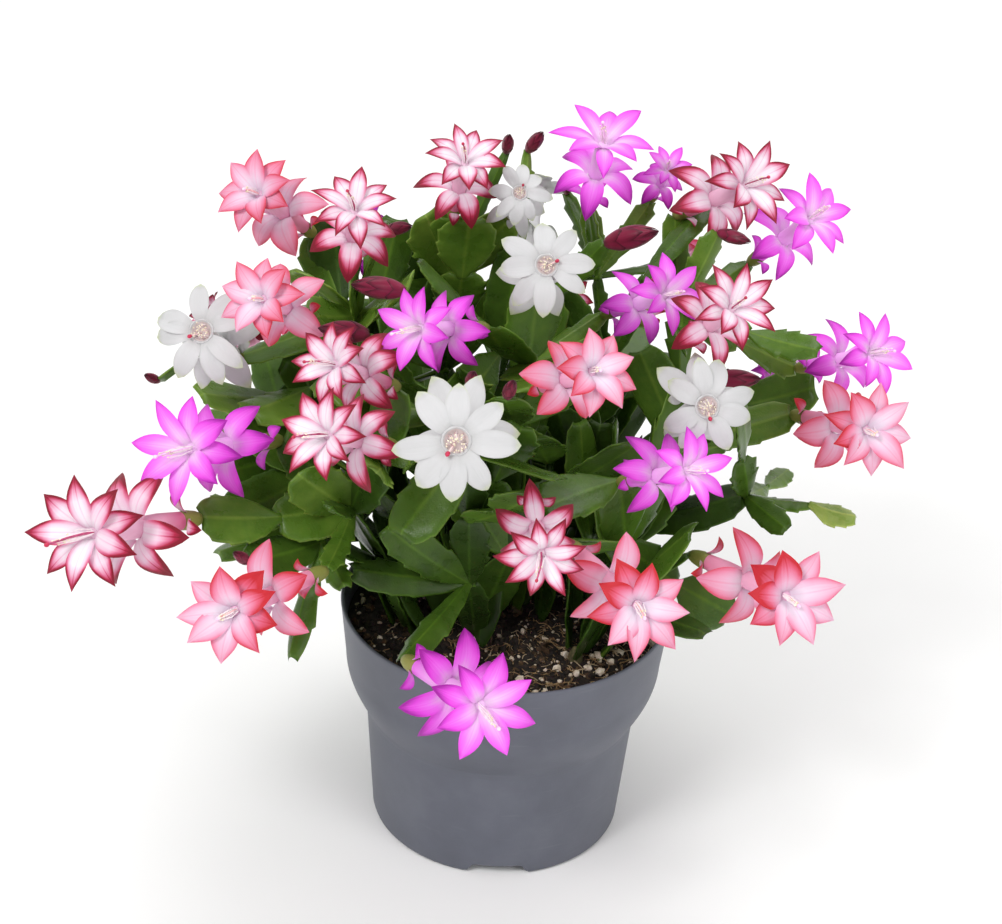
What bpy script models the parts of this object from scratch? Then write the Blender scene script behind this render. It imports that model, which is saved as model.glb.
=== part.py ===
"""Potted christmas cactus: a round plastic nursery pot, potting mix, rooted cuttings, flowers and buds.

Lengths are in millimetres and become metres when a mesh is made. The origin is the middle of the
pot's underside, +Z is up and the front of the plant faces -Y.

Every flower and bud has a chosen place. Each cutting then grows its shoots to them, one flat stem
segment after another, and a shoot bends and turns so that it keeps clear of what is already there.
"""
import math

import bpy
from mathutils import Matrix, Vector
from mathutils.kdtree import KDTree

MM = 0.001
GAP = 0.3                        # clearance between pieces that rest on each other
UP = Vector((0.0, 0.0, 1.0))

# Pot: a 13 cm nursery pot with a wide collar, a round shoulder and a slightly tapered body
POT_SIDES = 40
RIM_RADIUS, RIM_HEIGHT = 65.0, 99.0
COLLAR_RADIUS, COLLAR_HEIGHT = 62.5, 75.0
NECK_RADIUS, NECK_HEIGHT = 54.4, 52.5
BODY_RADIUS, BODY_HEIGHT = 53.8, 49.5
BASE_RADIUS, BASE_EDGE = 50.2, 1.8
POT_WALL, POT_FLOOR = 1.5, 4.5
FOOT_ANGLES = (-87.0, 33.0, 153.0)   # where the base is notched between its three feet
NOTCH_WIDTH, NOTCH_HEIGHT, NOTCH_INNER = 24.0, 2.8, 28.0
DRAIN_RADIUS, DRAIN_PLACE = 4.5, 38.0

# Potting mix
MIX_EDGE, MIX_CROWN = 88.5, 91.5
FOOT_DEPTH, FOOT_RADIUS, FOOT_TOP = 64.0, 3.6, 99.0

# Stem segments
SEGMENT_LENGTH, SEGMENT_WIDTH, STEM_WIDTH = 42.0, 23.5, 16.0
WIDTH_SPREAD = 3.0               # how much segments differ in width
SEGMENT_THICKNESS = 2.6
CLEARANCE = 5.0                  # what a growing segment keeps from its neighbours

# Flowers: a tube with a lower whorl of four petals and an upper rosette of eight
FLOWER_LENGTH, LOWER_WHORL, STYLE_LENGTH = 42.0, 17.0, 14.0
ROSETTE_RADIUS, WHORL_RADIUS = 20.5, 20.0

# Rooted cuttings: foot in the potting mix, then the joints of the main stem up to its crown
CUTTINGS = {
    "cutting_front": [(-11, -14), (-14, -32, 126), (-15, -48, 164)],
    "cutting_front_left": [(-38, -10), (-46, -24, 126), (-58, -40, 160)],
    "cutting_front_right": [(28, -26), (36, -36, 124), (42, -44, 154)],
    "cutting_right": [(38, 12), (50, 16, 126), (64, 16, 162)],
    "cutting_left": [(-36, 22), (-46, 25, 128), (-60, 24, 168)],
    "cutting_middle": [(4, 4), (3, 1, 130), (4, -4, 170), (3, -8, 208)],
    "cutting_back_left": [(-18, 40), (-24, 48, 128), (-30, 58, 168)],
    "cutting_back_right": [(22, 38), (28, 47, 128), (34, 57, 167)],
}

# Flowers: colour, cutting, middle of the rosette, compass angle and rise of the axis, size
FLOWERS = [
    ("crimson", "cutting_left", (-61, -25, 275), -84, 60, 0.92),
    ("crimson", "cutting_back_left", (-24, 15, 278), -76, 59, 0.9),
    ("crimson", "cutting_right", (82, 45, 262), -44, 37, 1.05),
    ("crimson", "cutting_right", (74, -35, 250), -56, 46, 0.95),
    ("crimson", "cutting_front_left", (-64, -72, 238), -134, 33, 0.9),
    ("crimson", "cutting_front_left", (-63, -112, 233), -130, 28, 0.95),
    ("crimson", "cutting_front_left", (-143, -107, 186), -131, 17, 1.25),
    ("crimson", "cutting_front", (11, -120, 196), -83, -3, 0.9),
    ("salmon", "cutting_left", (-101, 20, 258), -133, 42, 0.95),
    ("salmon", "cutting_left", (-91, -50, 250), -121, 33, 0.9),
    ("salmon", "cutting_middle", (25, -85, 248), -50, 35, 0.92),
    ("salmon", "cutting_right", (133, 2, 183), -52, 18, 1.05),
    ("salmon", "cutting_front_left", (-93, -115, 163), -132, 3, 1.05),
    ("salmon", "cutting_front_right", (45, -115, 175), -53, -4, 1.0),
    ("salmon", "cutting_front_right", (101, -70, 153), -42, 5, 1.1),
    ("magenta", "cutting_back_right", (27, 55, 272), -78, 62, 1.0),
    ("magenta", "cutting_back_right", (53, 75, 253), -71, 55, 0.6),
    ("magenta", "cutting_right", (109, 55, 245), -41, 47, 0.98),
    ("magenta", "cutting_middle", (-36, -60, 247), -131, 19, 0.92),
    ("magenta", "cutting_middle", (52, -10, 241), -44, 34, 0.9),
    ("magenta", "cutting_right", (136, 35, 199), -38, 31, 0.95),
    ("magenta", "cutting_front_left", (-114, -72, 201), -132, 17, 1.1),
    ("magenta", "cutting_front_right", (61, -75, 206), -44, 32, 0.92),
    ("magenta", "cutting_front", (-6, -112, 127), -51, 9, 1.15),
    ("white", "cutting_back_left", (-4, 20, 263), -80, 45, 0.65),
    ("white", "cutting_middle", (7, -35, 261), -85, 38, 0.92),
    ("white", "cutting_left", (-113, -35, 227), -106, 39, 1.0),
    ("white", "cutting_front", (-19, -121, 239), -90, 19, 1.1),
    ("white", "cutting_front_right", (66, -54, 220), -83, 22, 0.98),
    ("magenta", "cutting_back_left", (-66, 104, 206), 118, 30, 1.0),
    ("white", "cutting_back_right", (2, 126, 214), 88, 30, 1.05),
    ("salmon", "cutting_back_right", (66, 124, 192), 62, 22, 1.0),
    ("crimson", "cutting_left", (-124, 72, 178), 152, 20, 1.0),
    ("magenta", "cutting_right", (116, 96, 160), 42, 12, 1.0),
    ("salmon", "cutting_back_left", (-92, 112, 150), 130, 5, 1.05),
    ("crimson", "cutting_back_right", (18, 140, 160), 84, 0, 1.1),
    ("white", "cutting_back_left", (-44, 134, 178), 108, 14, 1.0),
]

# Buds: cutting, seat, compass angle and rise in degrees, length
BUDS = [
    ("cutting_back_left", (-10, 60, 262), -82, 56, 15),
    ("cutting_back_left", (-2, 58, 264), -53, 51, 17),
    ("cutting_middle", (29, 25, 243), -23, 26, 23),
    ("cutting_right", (72, 45, 241), -33, 2, 17),
    ("cutting_left", (-52, 8, 251), -36, 26, 16),
    ("cutting_left", (-42, -30, 246), -156, 15, 21),
    ("cutting_middle", (-54, -38, 232), -153, 17, 20),
    ("cutting_middle", (-17, -70, 231), -76, 53, 14),
    ("cutting_middle", (-4, -75, 230), -71, 56, 15),
    ("cutting_left", (-135, 0, 187), -122, 37, 12),
    ("cutting_right", (71, 2, 200), -25, 18, 21),
    ("cutting_front_left", (-92, -75, 157), -124, 45, 14),
    ("cutting_back_right", (14, 88, 234), -76, 58, 16),
]

# Shoots that carry no flower: cutting and tip
LEAF_TIPS = [
    ("cutting_back_left", (-22, 25, 249)),
    ("cutting_back_left", (-39, 35, 246)),
    ("cutting_back_right", (23, 60, 244)),
    ("cutting_back_right", (46, 40, 222)),
    ("cutting_right", (70, 20, 226)),
    ("cutting_right", (112, 15, 208)),
    ("cutting_right", (130, 0, 148)),
    ("cutting_right", (104, -20, 150)),
    ("cutting_front_right", (74, -58, 126)),
    ("cutting_front_right", (84, -34, 120)),
    ("cutting_front_left", (-76, -85, 124)),
    ("cutting_front_left", (-58, -76, 150)),
    ("cutting_front", (-38, -84, 178)),
    ("cutting_left", (-117, -20, 193)),
    ("cutting_left", (-86, 6, 234)),
    ("cutting_left", (-97, -30, 192)),
    ("cutting_middle", (27, -36, 234)),
    ("cutting_middle", (-39, 0, 244)),
    ("cutting_right", (81, -20, 200)),
    ("cutting_front", (2, -62, 212)),
    ("cutting_front_right", (66, -48, 164)),
    ("cutting_front", (16, -80, 202)),
    ("cutting_front_left", (-46, -90, 207)),
    ("cutting_left", (-126, 28, 148)),
    ("cutting_back_left", (-62, 112, 128)),
    ("cutting_back_right", (44, 118, 128)),
    ("cutting_right", (112, 62, 128)),
    ("cutting_back_left", (-32, 96, 206)),
    ("cutting_left", (-86, 82, 138)),
    ("cutting_back_right", (86, 98, 190)),
]

PAINT = {                        # base colour and roughness of each material
    "pot_plastic": ((0.14, 0.15, 0.18), 0.5),
    "potting_mix": ((0.03, 0.02, 0.015), 0.95),
    "stem_green": ((0.05, 0.13, 0.02), 0.35),
    "petal_crimson": ((0.85, 0.55, 0.62), 0.5),
    "petal_salmon": ((0.9, 0.3, 0.38), 0.5),
    "petal_magenta": ((0.9, 0.08, 0.85), 0.5),
    "petal_white": ((0.88, 0.88, 0.88), 0.5),
    "bud_red": ((0.25, 0.02, 0.05), 0.45),
}


# ---------------------------------------------------------------- small tools

def clear_scene():
    for item in list(bpy.data.objects):
        bpy.data.objects.remove(item)


def paint(name):
    """The named material, made once."""
    found = bpy.data.materials.get(name)
    if found:
        return found
    colour, roughness = PAINT[name]
    made = bpy.data.materials.new(name)
    made.use_nodes = True
    shader = made.node_tree.nodes["Principled BSDF"]
    shader.inputs["Base Color"].default_value = (*colour, 1.0)
    shader.inputs["Roughness"].default_value = roughness
    shader.inputs["Metallic"].default_value = 0.0
    return made


def make_mesh(name, points, faces, material):
    """A smooth-shaded mesh from points in millimetres."""
    mesh = bpy.data.meshes.new(name)
    mesh.from_pydata([tuple(MM * c for c in point) for point in points], [], faces)
    mesh.materials.append(paint(material))
    mesh.shade_smooth()
    mesh.set_sharp_from_angle(angle=math.radians(40.0))
    return mesh


def place(name, mesh, matrix=None):
    thing = bpy.data.objects.new(name, mesh)
    bpy.context.scene.collection.objects.link(thing)
    if matrix:
        thing.matrix_world = matrix
    return thing


def add_boolean(thing, cutter, operation, self_union=False):
    """Cut or join with a hidden helper object."""
    cutter.hide_render = True
    cutter.display_type = "WIRE"
    modifier = thing.modifiers.new(operation.title(), "BOOLEAN")
    modifier.operation = operation
    modifier.solver = "EXACT"
    modifier.use_self = self_union
    modifier.object = cutter


def lathe(profile, sides):
    """Turn (radius, height) points, which run from the axis back to the axis, about Z."""
    points = [(0.0, 0.0, profile[0][1])]
    faces = []
    for radius, height in profile[1:-1]:
        for side in range(sides):
            angle = math.tau * side / sides
            points.append((radius * math.cos(angle), radius * math.sin(angle), height))
    points.append((0.0, 0.0, profile[-1][1]))
    last = len(points) - 1
    for side in range(sides):
        after = (side + 1) % sides
        faces.append((0, 1 + side, 1 + after))
        faces.append((last, last - sides + after, last - sides + side))
        for ring in range(len(profile) - 3):
            low = 1 + ring * sides
            faces.append((low + side, low + sides + side, low + sides + after, low + after))
    return points, faces


def direction(compass, rise):
    """Unit vector from a compass angle about Z and a rise above level, both in degrees."""
    flat = math.cos(math.radians(rise))
    turn = math.radians(compass)
    return Vector((flat * math.cos(turn), flat * math.sin(turn), math.sin(math.radians(rise))))


def aim(start, heading, roll):
    """Matrix that puts a piece built along +Z at start, pointing along heading."""
    turn = heading.to_track_quat("Z", "Y").to_matrix().to_4x4()
    return Matrix.Translation(start * MM) @ turn @ Matrix.Rotation(roll, 4, "Z")


# ---------------------------------------------------------------- pot and potting mix

def pot_radius(height):
    """Outer radius of the pot wall at a height."""
    if height >= COLLAR_HEIGHT:
        part = (height - COLLAR_HEIGHT) / (RIM_HEIGHT - COLLAR_HEIGHT)
        return COLLAR_RADIUS + (RIM_RADIUS - COLLAR_RADIUS) * part
    if height >= NECK_HEIGHT:
        part = (height - NECK_HEIGHT) / (COLLAR_HEIGHT - NECK_HEIGHT)
        return NECK_RADIUS + (COLLAR_RADIUS - NECK_RADIUS) * math.sin(0.5 * math.pi * part)
    if height >= BODY_HEIGHT:
        part = (height - BODY_HEIGHT) / (NECK_HEIGHT - BODY_HEIGHT)
        return BODY_RADIUS + (NECK_RADIUS - BODY_RADIUS) * part
    part = (height - BASE_EDGE) / (BODY_HEIGHT - BASE_EDGE)
    return BASE_RADIUS + (BODY_RADIUS - BASE_RADIUS) * part


SHOULDER = [NECK_HEIGHT + step * (COLLAR_HEIGHT - NECK_HEIGHT) / 5 for step in range(6)]
INNER_HEIGHTS = [POT_FLOOR + 3.0, BODY_HEIGHT, *SHOULDER]


def build_pot():
    outer = [(pot_radius(height), height) for height in (BASE_EDGE, BODY_HEIGHT, *SHOULDER)]
    outer = [(BASE_RADIUS - BASE_EDGE, 0.0), *outer, (RIM_RADIUS, RIM_HEIGHT - 0.6)]
    lip = [(RIM_RADIUS - 0.4, RIM_HEIGHT), (RIM_RADIUS - POT_WALL, RIM_HEIGHT)]
    inner = [(pot_radius(height) - POT_WALL, height) for height in reversed(INNER_HEIGHTS)]
    floor = [(pot_radius(POT_FLOOR) - POT_WALL - 3.0, POT_FLOOR), (0.0, POT_FLOOR)]
    points, faces = lathe([(0.0, 0.0), *outer, *lip, *inner, *floor], POT_SIDES)
    pot = place("pot", make_mesh("pot", points, [face[::-1] for face in faces], "pot_plastic"))
    add_boolean(pot, place("pot_notches", notch_mesh()), "DIFFERENCE")
    drains = [(DRAIN_PLACE, angle) for angle in FOOT_ANGLES]
    spots = [direction(angle, 0.0) * reach for reach, angle in drains]
    add_boolean(pot, place("pot_drains", pegs(spots, DRAIN_RADIUS, -2.0, POT_FLOOR + 2.0, 16)), "DIFFERENCE")


def notch_mesh():
    """Shallow channels under the base, one at each notch."""
    points, faces = [], []
    for angle in FOOT_ANGLES:
        along = direction(angle, 0.0)
        across = UP.cross(along)
        first = len(points)
        for height, half in ((-1.0, NOTCH_WIDTH / 2 + 2.0), (NOTCH_HEIGHT, NOTCH_WIDTH / 2 - 2.0)):
            for reach, side in ((NOTCH_INNER, -1), (60.0, -1), (60.0, 1), (NOTCH_INNER, 1)):
                points.append(along * reach + across * side * half + UP * height)
        faces += [tuple(first + i for i in face) for face in
                  ((3, 2, 1, 0), (4, 5, 6, 7), (0, 1, 5, 4), (1, 2, 6, 5), (2, 3, 7, 6), (3, 0, 4, 7))]
    return make_mesh("pot_notches", points, faces, "pot_plastic")


def pegs(spots, radius, bottom, top, sides):
    """Upright round pegs at level spots, in one mesh."""
    points, faces = [], []
    for spot in spots:
        first = len(points)
        for height in (bottom, top):
            for side in range(sides):
                angle = math.tau * side / sides
                points.append((spot[0] + radius * math.cos(angle), spot[1] + radius * math.sin(angle), height))
        faces.append(tuple(first + side for side in reversed(range(sides))))
        faces.append(tuple(first + sides + side for side in range(sides)))
        for side in range(sides):
            after = (side + 1) % sides
            faces.append((first + side, first + after, first + sides + after, first + sides + side))
    return make_mesh("pegs", points, faces, "pot_plastic")


def build_potting_mix():
    """Fills the pot, with a socket round the foot of each cutting."""
    heights = (POT_FLOOR + 3.0, BODY_HEIGHT, *SHOULDER[::5])
    wall = [(pot_radius(height) - POT_WALL - GAP, height) for height in heights]
    floor = (pot_radius(POT_FLOOR) - POT_WALL - 3.0 - GAP, POT_FLOOR + GAP)
    edge = (pot_radius(MIX_EDGE) - POT_WALL - GAP, MIX_EDGE)
    top = [(50.0, MIX_EDGE + 1.0), (30.0, MIX_CROWN - 0.6), (0.0, MIX_CROWN)]
    points, faces = lathe([(0.0, POT_FLOOR + GAP), floor, *wall, edge, *top], POT_SIDES)
    mix = place("potting_mix", make_mesh("potting_mix", points, [face[::-1] for face in faces], "potting_mix"))
    feet = [joints[0] for joints in CUTTINGS.values()]
    add_boolean(mix, place("sockets", pegs(feet, FOOT_RADIUS + GAP, FOOT_DEPTH - GAP, FOOT_TOP, 8)), "DIFFERENCE")


# ---------------------------------------------------------------- flowers and buds

def ring(radius, height, count=8):
    return [Vector((radius * math.cos(math.tau * i / count), radius * math.sin(math.tau * i / count), height))
            for i in range(count)]


def whorl(points, faces, low, high, petals, reach, tip_drop, mid_rise):
    """Pull petals out of the band between two rings of eight points; plain faces lie between them."""
    for side in range(8):
        after = (side + 1) % 8
        if side not in petals:
            faces.append((low + side, low + after, high + after, high + side))
            continue
        middle = math.tau * (side + 0.5) / 8
        out = Vector((math.cos(middle), math.sin(middle), 0.0))
        level = points[high + side].z - 1.0
        first = len(points)
        across = UP.cross(out)
        for sign in (-1, 1):
            points.append(out * reach * 0.62 + across * sign * 4.4 + UP * (level + mid_rise))
        points.append(out * reach + UP * (level + tip_drop))
        left, right, tip = first, first + 1, first + 2
        faces += [(low + side, low + after, tip), (low + side, tip, left), (low + after, right, tip),
                  (high + side, tip, high + after), (high + side, left, tip), (high + after, tip, right),
                  (low + side, left, high + side), (high + after, right, low + after)]


def flower_mesh(colour):
    """One closed flower: seat at the origin, tube along +Z, four lower petals, a rosette and a style."""
    rings = [(1.8, 0.0), (3.4, 8.0), (3.8, LOWER_WHORL - 1.0), (4.0, LOWER_WHORL + 1.0),
             (4.6, FLOWER_LENGTH - 1.2), (4.6, FLOWER_LENGTH + 1.0)]
    points, faces = [], []
    for radius, height in rings:
        points += ring(radius, height)
    faces.append(tuple(reversed(range(8))))
    for low, high in ((0, 8), (8, 16), (24, 32)):
        for side in range(8):
            after = (side + 1) % 8
            faces.append((low + side, low + after, high + after, high + side))
    whorl(points, faces, 16, 24, (0, 2, 4, 6), WHORL_RADIUS, -6.0, -2.0)
    whorl(points, faces, 32, 40, range(8), ROSETTE_RADIUS, -3.0, 1.5)
    stigma = len(points)
    points.append(Vector((0.0, 0.0, FLOWER_LENGTH + STYLE_LENGTH)))
    faces += [(40 + side, 40 + (side + 1) % 8, stigma) for side in range(8)]
    return make_mesh("flower_" + colour, points, faces, "petal_" + colour)


def bud_mesh():
    """A closed pointed bud of unit length along +Z."""
    profile = [(0.0, 0.0), (0.10, 0.0), (0.20, 0.25), (0.24, 0.5), (0.17, 0.78), (0.0, 1.0)]
    points, faces = lathe(profile, 7)
    return make_mesh("bud", points, [face[::-1] for face in faces], "bud_red")


def seat_clearances(name, seats):
    """Helper that clears the tips of the stem segments from the foot of each flower and bud."""
    points, faces = [], []
    for seat, heading, *cone in seats:
        turn = heading.to_track_quat("Z", "Y")
        first = len(points)
        for radius, height in cone:
            points += [seat + turn @ point for point in ring(radius + 1.5 * GAP, height)]
        faces.append(tuple(first + side for side in reversed(range(8))))
        faces.append(tuple(first + 8 + side for side in range(8)))
        for side in range(8):
            after = (side + 1) % 8
            faces.append((first + side, first + after, first + 8 + after, first + 8 + side))
    return place(name, make_mesh(name, points, faces, "stem_green"))


def flower_seat(spot, compass, rise, size):
    return Vector(spot) - direction(compass, rise) * FLOWER_LENGTH * size


def build_flowers():
    meshes = {}
    counts = {}
    for index, (colour, _, spot, compass, rise, size) in enumerate(FLOWERS):
        if colour not in meshes:
            meshes[colour] = flower_mesh(colour)
        counts[colour] = counts.get(colour, 0) + 1
        heading = direction(compass, rise)
        start = flower_seat(spot, compass, rise, size) + heading * GAP
        matrix = aim(start, heading, 0.35 * index) @ Matrix.Scale(size, 4)
        place(f"flower_{colour}_{counts[colour]}", meshes[colour], matrix)


def build_buds():
    shape = bud_mesh()
    for index, (_, seat, compass, rise, length) in enumerate(BUDS):
        heading = direction(compass, rise)
        matrix = aim(Vector(seat) + heading * GAP, heading, 0.0) @ Matrix.Scale(length, 4)
        place(f"bud_{index + 1}", shape, matrix)


# ---------------------------------------------------------------- growing the cuttings

class Segment:
    """One flat stem segment between two joints; across is its width direction."""

    def __init__(self, start, end, across, width):
        self.start, self.end, self.across, self.width = start, end, across, width

    def samples(self):
        """Points spread over the blade, for measuring clearances."""
        spread = []
        for step in range(7):
            along = self.start.lerp(self.end, step / 6)
            half = self.width * (0.1, 0.3, 0.42, 0.48, 0.5, 0.48, 0.3)[step]
            spread += [along + self.across * half * side for side in (-1.0, -0.5, 0.0, 0.5, 1.0)]
        return spread


def width_direction(start, end, twist):
    """Level and tangential to the plant, square to the segment, then turned by twist degrees."""
    along = (end - start).normalized()
    middle = (start + end) / 2
    outward = Vector((middle.x, middle.y, 0.0))
    across = UP.cross(outward)
    across -= along * across.dot(along)
    if across.length < 0.3 * max(outward.length, 1.0):
        across = along.cross(UP)
    across.normalize()
    return Matrix.Rotation(math.radians(twist), 3, along) @ across


def blade_width(joint):
    """Width of the segment that ends at a joint; it varies a little over the plant."""
    return SEGMENT_WIDTH + WIDTH_SPREAD * math.sin(0.7 * (joint.x + joint.y + joint.z))


def shoot_segments(start, end, lift, side, twist):
    """Segments from start to end along a shallow bow; lift and side are shares of its length."""
    span = end - start
    count = max(1, round(span.length / SEGMENT_LENGTH))
    sideways = UP.cross(span).normalized() if span.xy.length > 1.0 else Vector((1.0, 0.0, 0.0))
    bow = (UP * lift + sideways * side) * span.length
    joints = []
    for step in range(count + 1):
        part = step / count
        joints.append(start + span * part + bow * 4.0 * part * (1.0 - part))
    return [Segment(a, b, width_direction(a, b, twist), blade_width(b)) for a, b in zip(joints, joints[1:])]


def flower_samples(spot, compass, rise, size):
    """Points over a flower's tube, whorl and rosette."""
    heading = direction(compass, rise) * size
    seat = flower_seat(spot, compass, rise, size)
    turn = heading.to_track_quat("Z", "Y")
    spread = [seat + heading * step for step in (6, 14, 22, 30, 38, 46, 54)]
    for reach, height in ((8, LOWER_WHORL), (14, LOWER_WHORL - 4), (20, LOWER_WHORL - 6),
                          (8, FLOWER_LENGTH), (14, FLOWER_LENGTH + 1), (20, FLOWER_LENGTH - 3)):
        spread += [seat + turn @ (point + UP * height) * size for point in ring(reach, 0.0, 12)]
    return spread


def bud_samples(seat, compass, rise, length):
    """Points round a bud and at its tip."""
    heading = direction(compass, rise)
    turn = heading.to_track_quat("Z", "Y")
    spread = [Vector(seat) + heading * length]
    for part in (0.25, 0.5, 0.78):
        spread += [Vector(seat) + turn @ point * length for point in ring(0.2, part, 6)]
    return spread


class Garden:
    """Everything placed so far, as points with their owner, for measuring clearances."""

    def __init__(self):
        self.spots = []
        self.tree = None

    def add(self, points, owner):
        self.spots += [(point, owner) for point in points]
        self.tree = KDTree(len(self.spots))
        for index, (point, _) in enumerate(self.spots):
            self.tree.insert(point, index)
        self.tree.balance()

    def clearance(self, segments, owner, start, end):
        """Least distance to anything but the fork that a shoot grows from and the flower at its tip."""
        least = 2.0 * CLEARANCE
        for segment in segments:
            for point in segment.samples():
                near_fork = (point - start).length < 16.0
                near_tip = (point - end).length < 9.0
                for _, index, distance in self.tree.find_n(point, 8):
                    other = self.spots[index][1]
                    if other == owner and (near_fork or distance > 0.6 * CLEARANCE):
                        continue
                    if other == "bloom" and near_tip:
                        continue
                    least = min(least, distance)
        return least


BOWS = ((0.12, 0.0), (0.0, 0.0), (0.12, 0.15), (0.12, -0.15), (0.25, 0.0), (-0.1, 0.0), (0.2, 0.25),
        (0.2, -0.25), (0.0, 0.3), (0.0, -0.3), (0.3, 0.15), (0.3, -0.15), (-0.15, 0.2), (-0.15, -0.2))
TWISTS = (0.0, 25.0, -25.0, 50.0, -50.0, 75.0, -75.0, 90.0)


def grow_shoot(garden, owner, joints, end):
    """The shoot that reaches its end with the best clearance, from the nearest joint that allows it."""
    forks = sorted(joints, key=lambda joint: (end - joint).length)
    forks = [joint for joint in forks if (end - joint).length > 0.65 * SEGMENT_LENGTH][:6]
    best, best_cost = None, math.inf
    for rank, fork in enumerate(forks):
        for bend, (lift, side) in enumerate(BOWS):
            for turn, twist in enumerate(TWISTS):
                segments = shoot_segments(fork, end, lift, side, twist)
                lack = CLEARANCE - garden.clearance(segments, owner, fork, end)
                cost = 6.0 * max(lack, 0.0) + 1.2 * rank + 0.5 * bend + 0.4 * turn
                if cost < best_cost:
                    best, best_cost = segments, cost
    return best


def grow_plant():
    """All segments of each cutting, as a dictionary of lists."""
    garden = Garden()
    for _, _, *flower in FLOWERS:
        garden.add(flower_samples(*flower), "bloom")
    for _, *bud in BUDS:
        garden.add(bud_samples(*bud), "bloom")
    grown, forks = {}, {}
    for name, (foot, *stem) in CUTTINGS.items():
        joints = [Vector((*foot, FOOT_TOP - 4.0)), *map(Vector, stem)]
        grown[name] = [Segment(a, b, width_direction(a, b, 15.0), STEM_WIDTH) for a, b in zip(joints, joints[1:])]
        forks[name] = joints[1:]
        for segment in grown[name]:
            garden.add(segment.samples(), name)
    ends = [(name, flower_seat(*flower)) for _, name, *flower in FLOWERS]
    ends += [(name, Vector(seat)) for name, seat, *_ in BUDS]
    ends += [(name, Vector(tip)) for name, tip in LEAF_TIPS]
    for name, end in ends:
        shoot = grow_shoot(garden, name, forks[name], end)
        grown[name] += shoot
        forks[name] += [segment.end for segment in shoot[:-1]]
        garden.add([point for segment in shoot for point in segment.samples()], name)
    return grown


# Blade outline as shares of length and width: neck, shoulder, end tooth, tip
OUTLINE = ((-0.06, -0.11), (0.32, -0.42), (0.76, -0.5), (0.96, -0.24), (1.0, 0.0),
           (0.96, 0.24), (0.76, 0.5), (0.32, 0.42), (-0.06, 0.11))


def blade(points, faces, segment):
    """Add one closed blade, a little thicker at its tip than at its neck."""
    span = segment.end - segment.start
    normal = span.normalized().cross(segment.across)
    first = len(points)
    count = len(OUTLINE)
    for sign in (-1, 1):
        for along, aside in OUTLINE:
            half = SEGMENT_THICKNESS * (0.36 + 0.14 * along) * sign
            points.append(segment.start + span * along + segment.across * aside * segment.width + normal * half)
    faces.append(tuple(first + i for i in reversed(range(count))))
    faces.append(tuple(first + count + i for i in range(count)))
    for side in range(count):
        after = (side + 1) % count
        faces.append((first + side, first + after, first + count + after, first + count + side))


def build_cuttings():
    for name, segments in grow_plant().items():
        foot = CUTTINGS[name][0]
        stub = pegs([foot], FOOT_RADIUS, FOOT_DEPTH, FOOT_TOP, 8)
        stub.materials[0] = paint("stem_green")
        cutting = place(name, stub)
        points, faces = [], []
        for segment in segments:
            blade(points, faces, segment)
        blades = place(name + "_blades", make_mesh(name + "_blades", points, faces, "stem_green"))
        add_boolean(cutting, blades, "UNION", self_union=True)
        seats = [(flower_seat(spot, compass, rise, size), direction(compass, rise),
                  (1.8 * size, 0.0), (3.4 * size, 8.0 * size))
                 for _, owner, spot, compass, rise, size in FLOWERS if owner == name]
        seats += [(Vector(seat), direction(compass, rise), (0.14 * length, 0.0), (0.24 * length, 0.5 * length))
                  for owner, seat, compass, rise, length in BUDS if owner == name]
        add_boolean(cutting, seat_clearances(name + "_seats", seats), "DIFFERENCE")


clear_scene()
build_pot()
build_potting_mix()
build_cuttings()
build_flowers()
build_buds()
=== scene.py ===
# %% [markdown]
# # Potted christmas cactus
# A round nursery pot holds a bed of potting mix, eight rooted cuttings and their flowers and buds.
# The plain model gives every place and size. This notebook grows the same shoots from the same
# places, then gives each piece the shape, colour and gloss of the real plant.
# All lengths in the notebook are millimetres and become metres when a mesh is made.

# %% Load the plain model
import math
import random

import bmesh
import bpy
from mathutils import Matrix, Quaternion, Vector, noise
from mathutils.kdtree import KDTree


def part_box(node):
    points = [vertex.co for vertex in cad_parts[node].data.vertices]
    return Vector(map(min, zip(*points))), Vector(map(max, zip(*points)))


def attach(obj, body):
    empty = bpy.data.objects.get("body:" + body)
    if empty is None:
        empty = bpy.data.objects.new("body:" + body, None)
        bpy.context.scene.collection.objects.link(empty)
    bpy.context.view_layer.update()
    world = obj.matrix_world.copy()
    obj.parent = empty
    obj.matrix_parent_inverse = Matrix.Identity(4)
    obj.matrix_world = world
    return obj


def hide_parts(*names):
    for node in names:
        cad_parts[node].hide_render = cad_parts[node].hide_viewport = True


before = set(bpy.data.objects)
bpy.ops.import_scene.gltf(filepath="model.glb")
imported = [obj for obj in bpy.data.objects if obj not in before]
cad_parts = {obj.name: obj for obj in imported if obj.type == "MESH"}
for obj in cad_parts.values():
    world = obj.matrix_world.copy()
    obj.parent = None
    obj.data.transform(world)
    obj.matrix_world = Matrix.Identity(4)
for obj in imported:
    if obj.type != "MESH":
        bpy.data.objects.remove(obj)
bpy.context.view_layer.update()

MM = 0.001
UP = Vector((0.0, 0.0, 1.0))

# %% [markdown]
# ## Colours and nodes
# Colours are written as sRGB hex, as in a paint program, and the renderer wants linear light, so one
# function converts them. One more function adds any shader node: its settings, its inputs (a number,
# a colour or another node's output) and, for a ramp, its stops. Every material below is built with it.

# %% Helpers for materials
def linear(colour):
    """A hex sRGB colour as linear RGBA."""
    channels = [int(colour[place:place + 2], 16) / 255 for place in (1, 3, 5)]
    return (*[c / 12.92 if c <= 0.04045 else ((c + 0.055) / 1.055) ** 2.4 for c in channels], 1.0)


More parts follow.
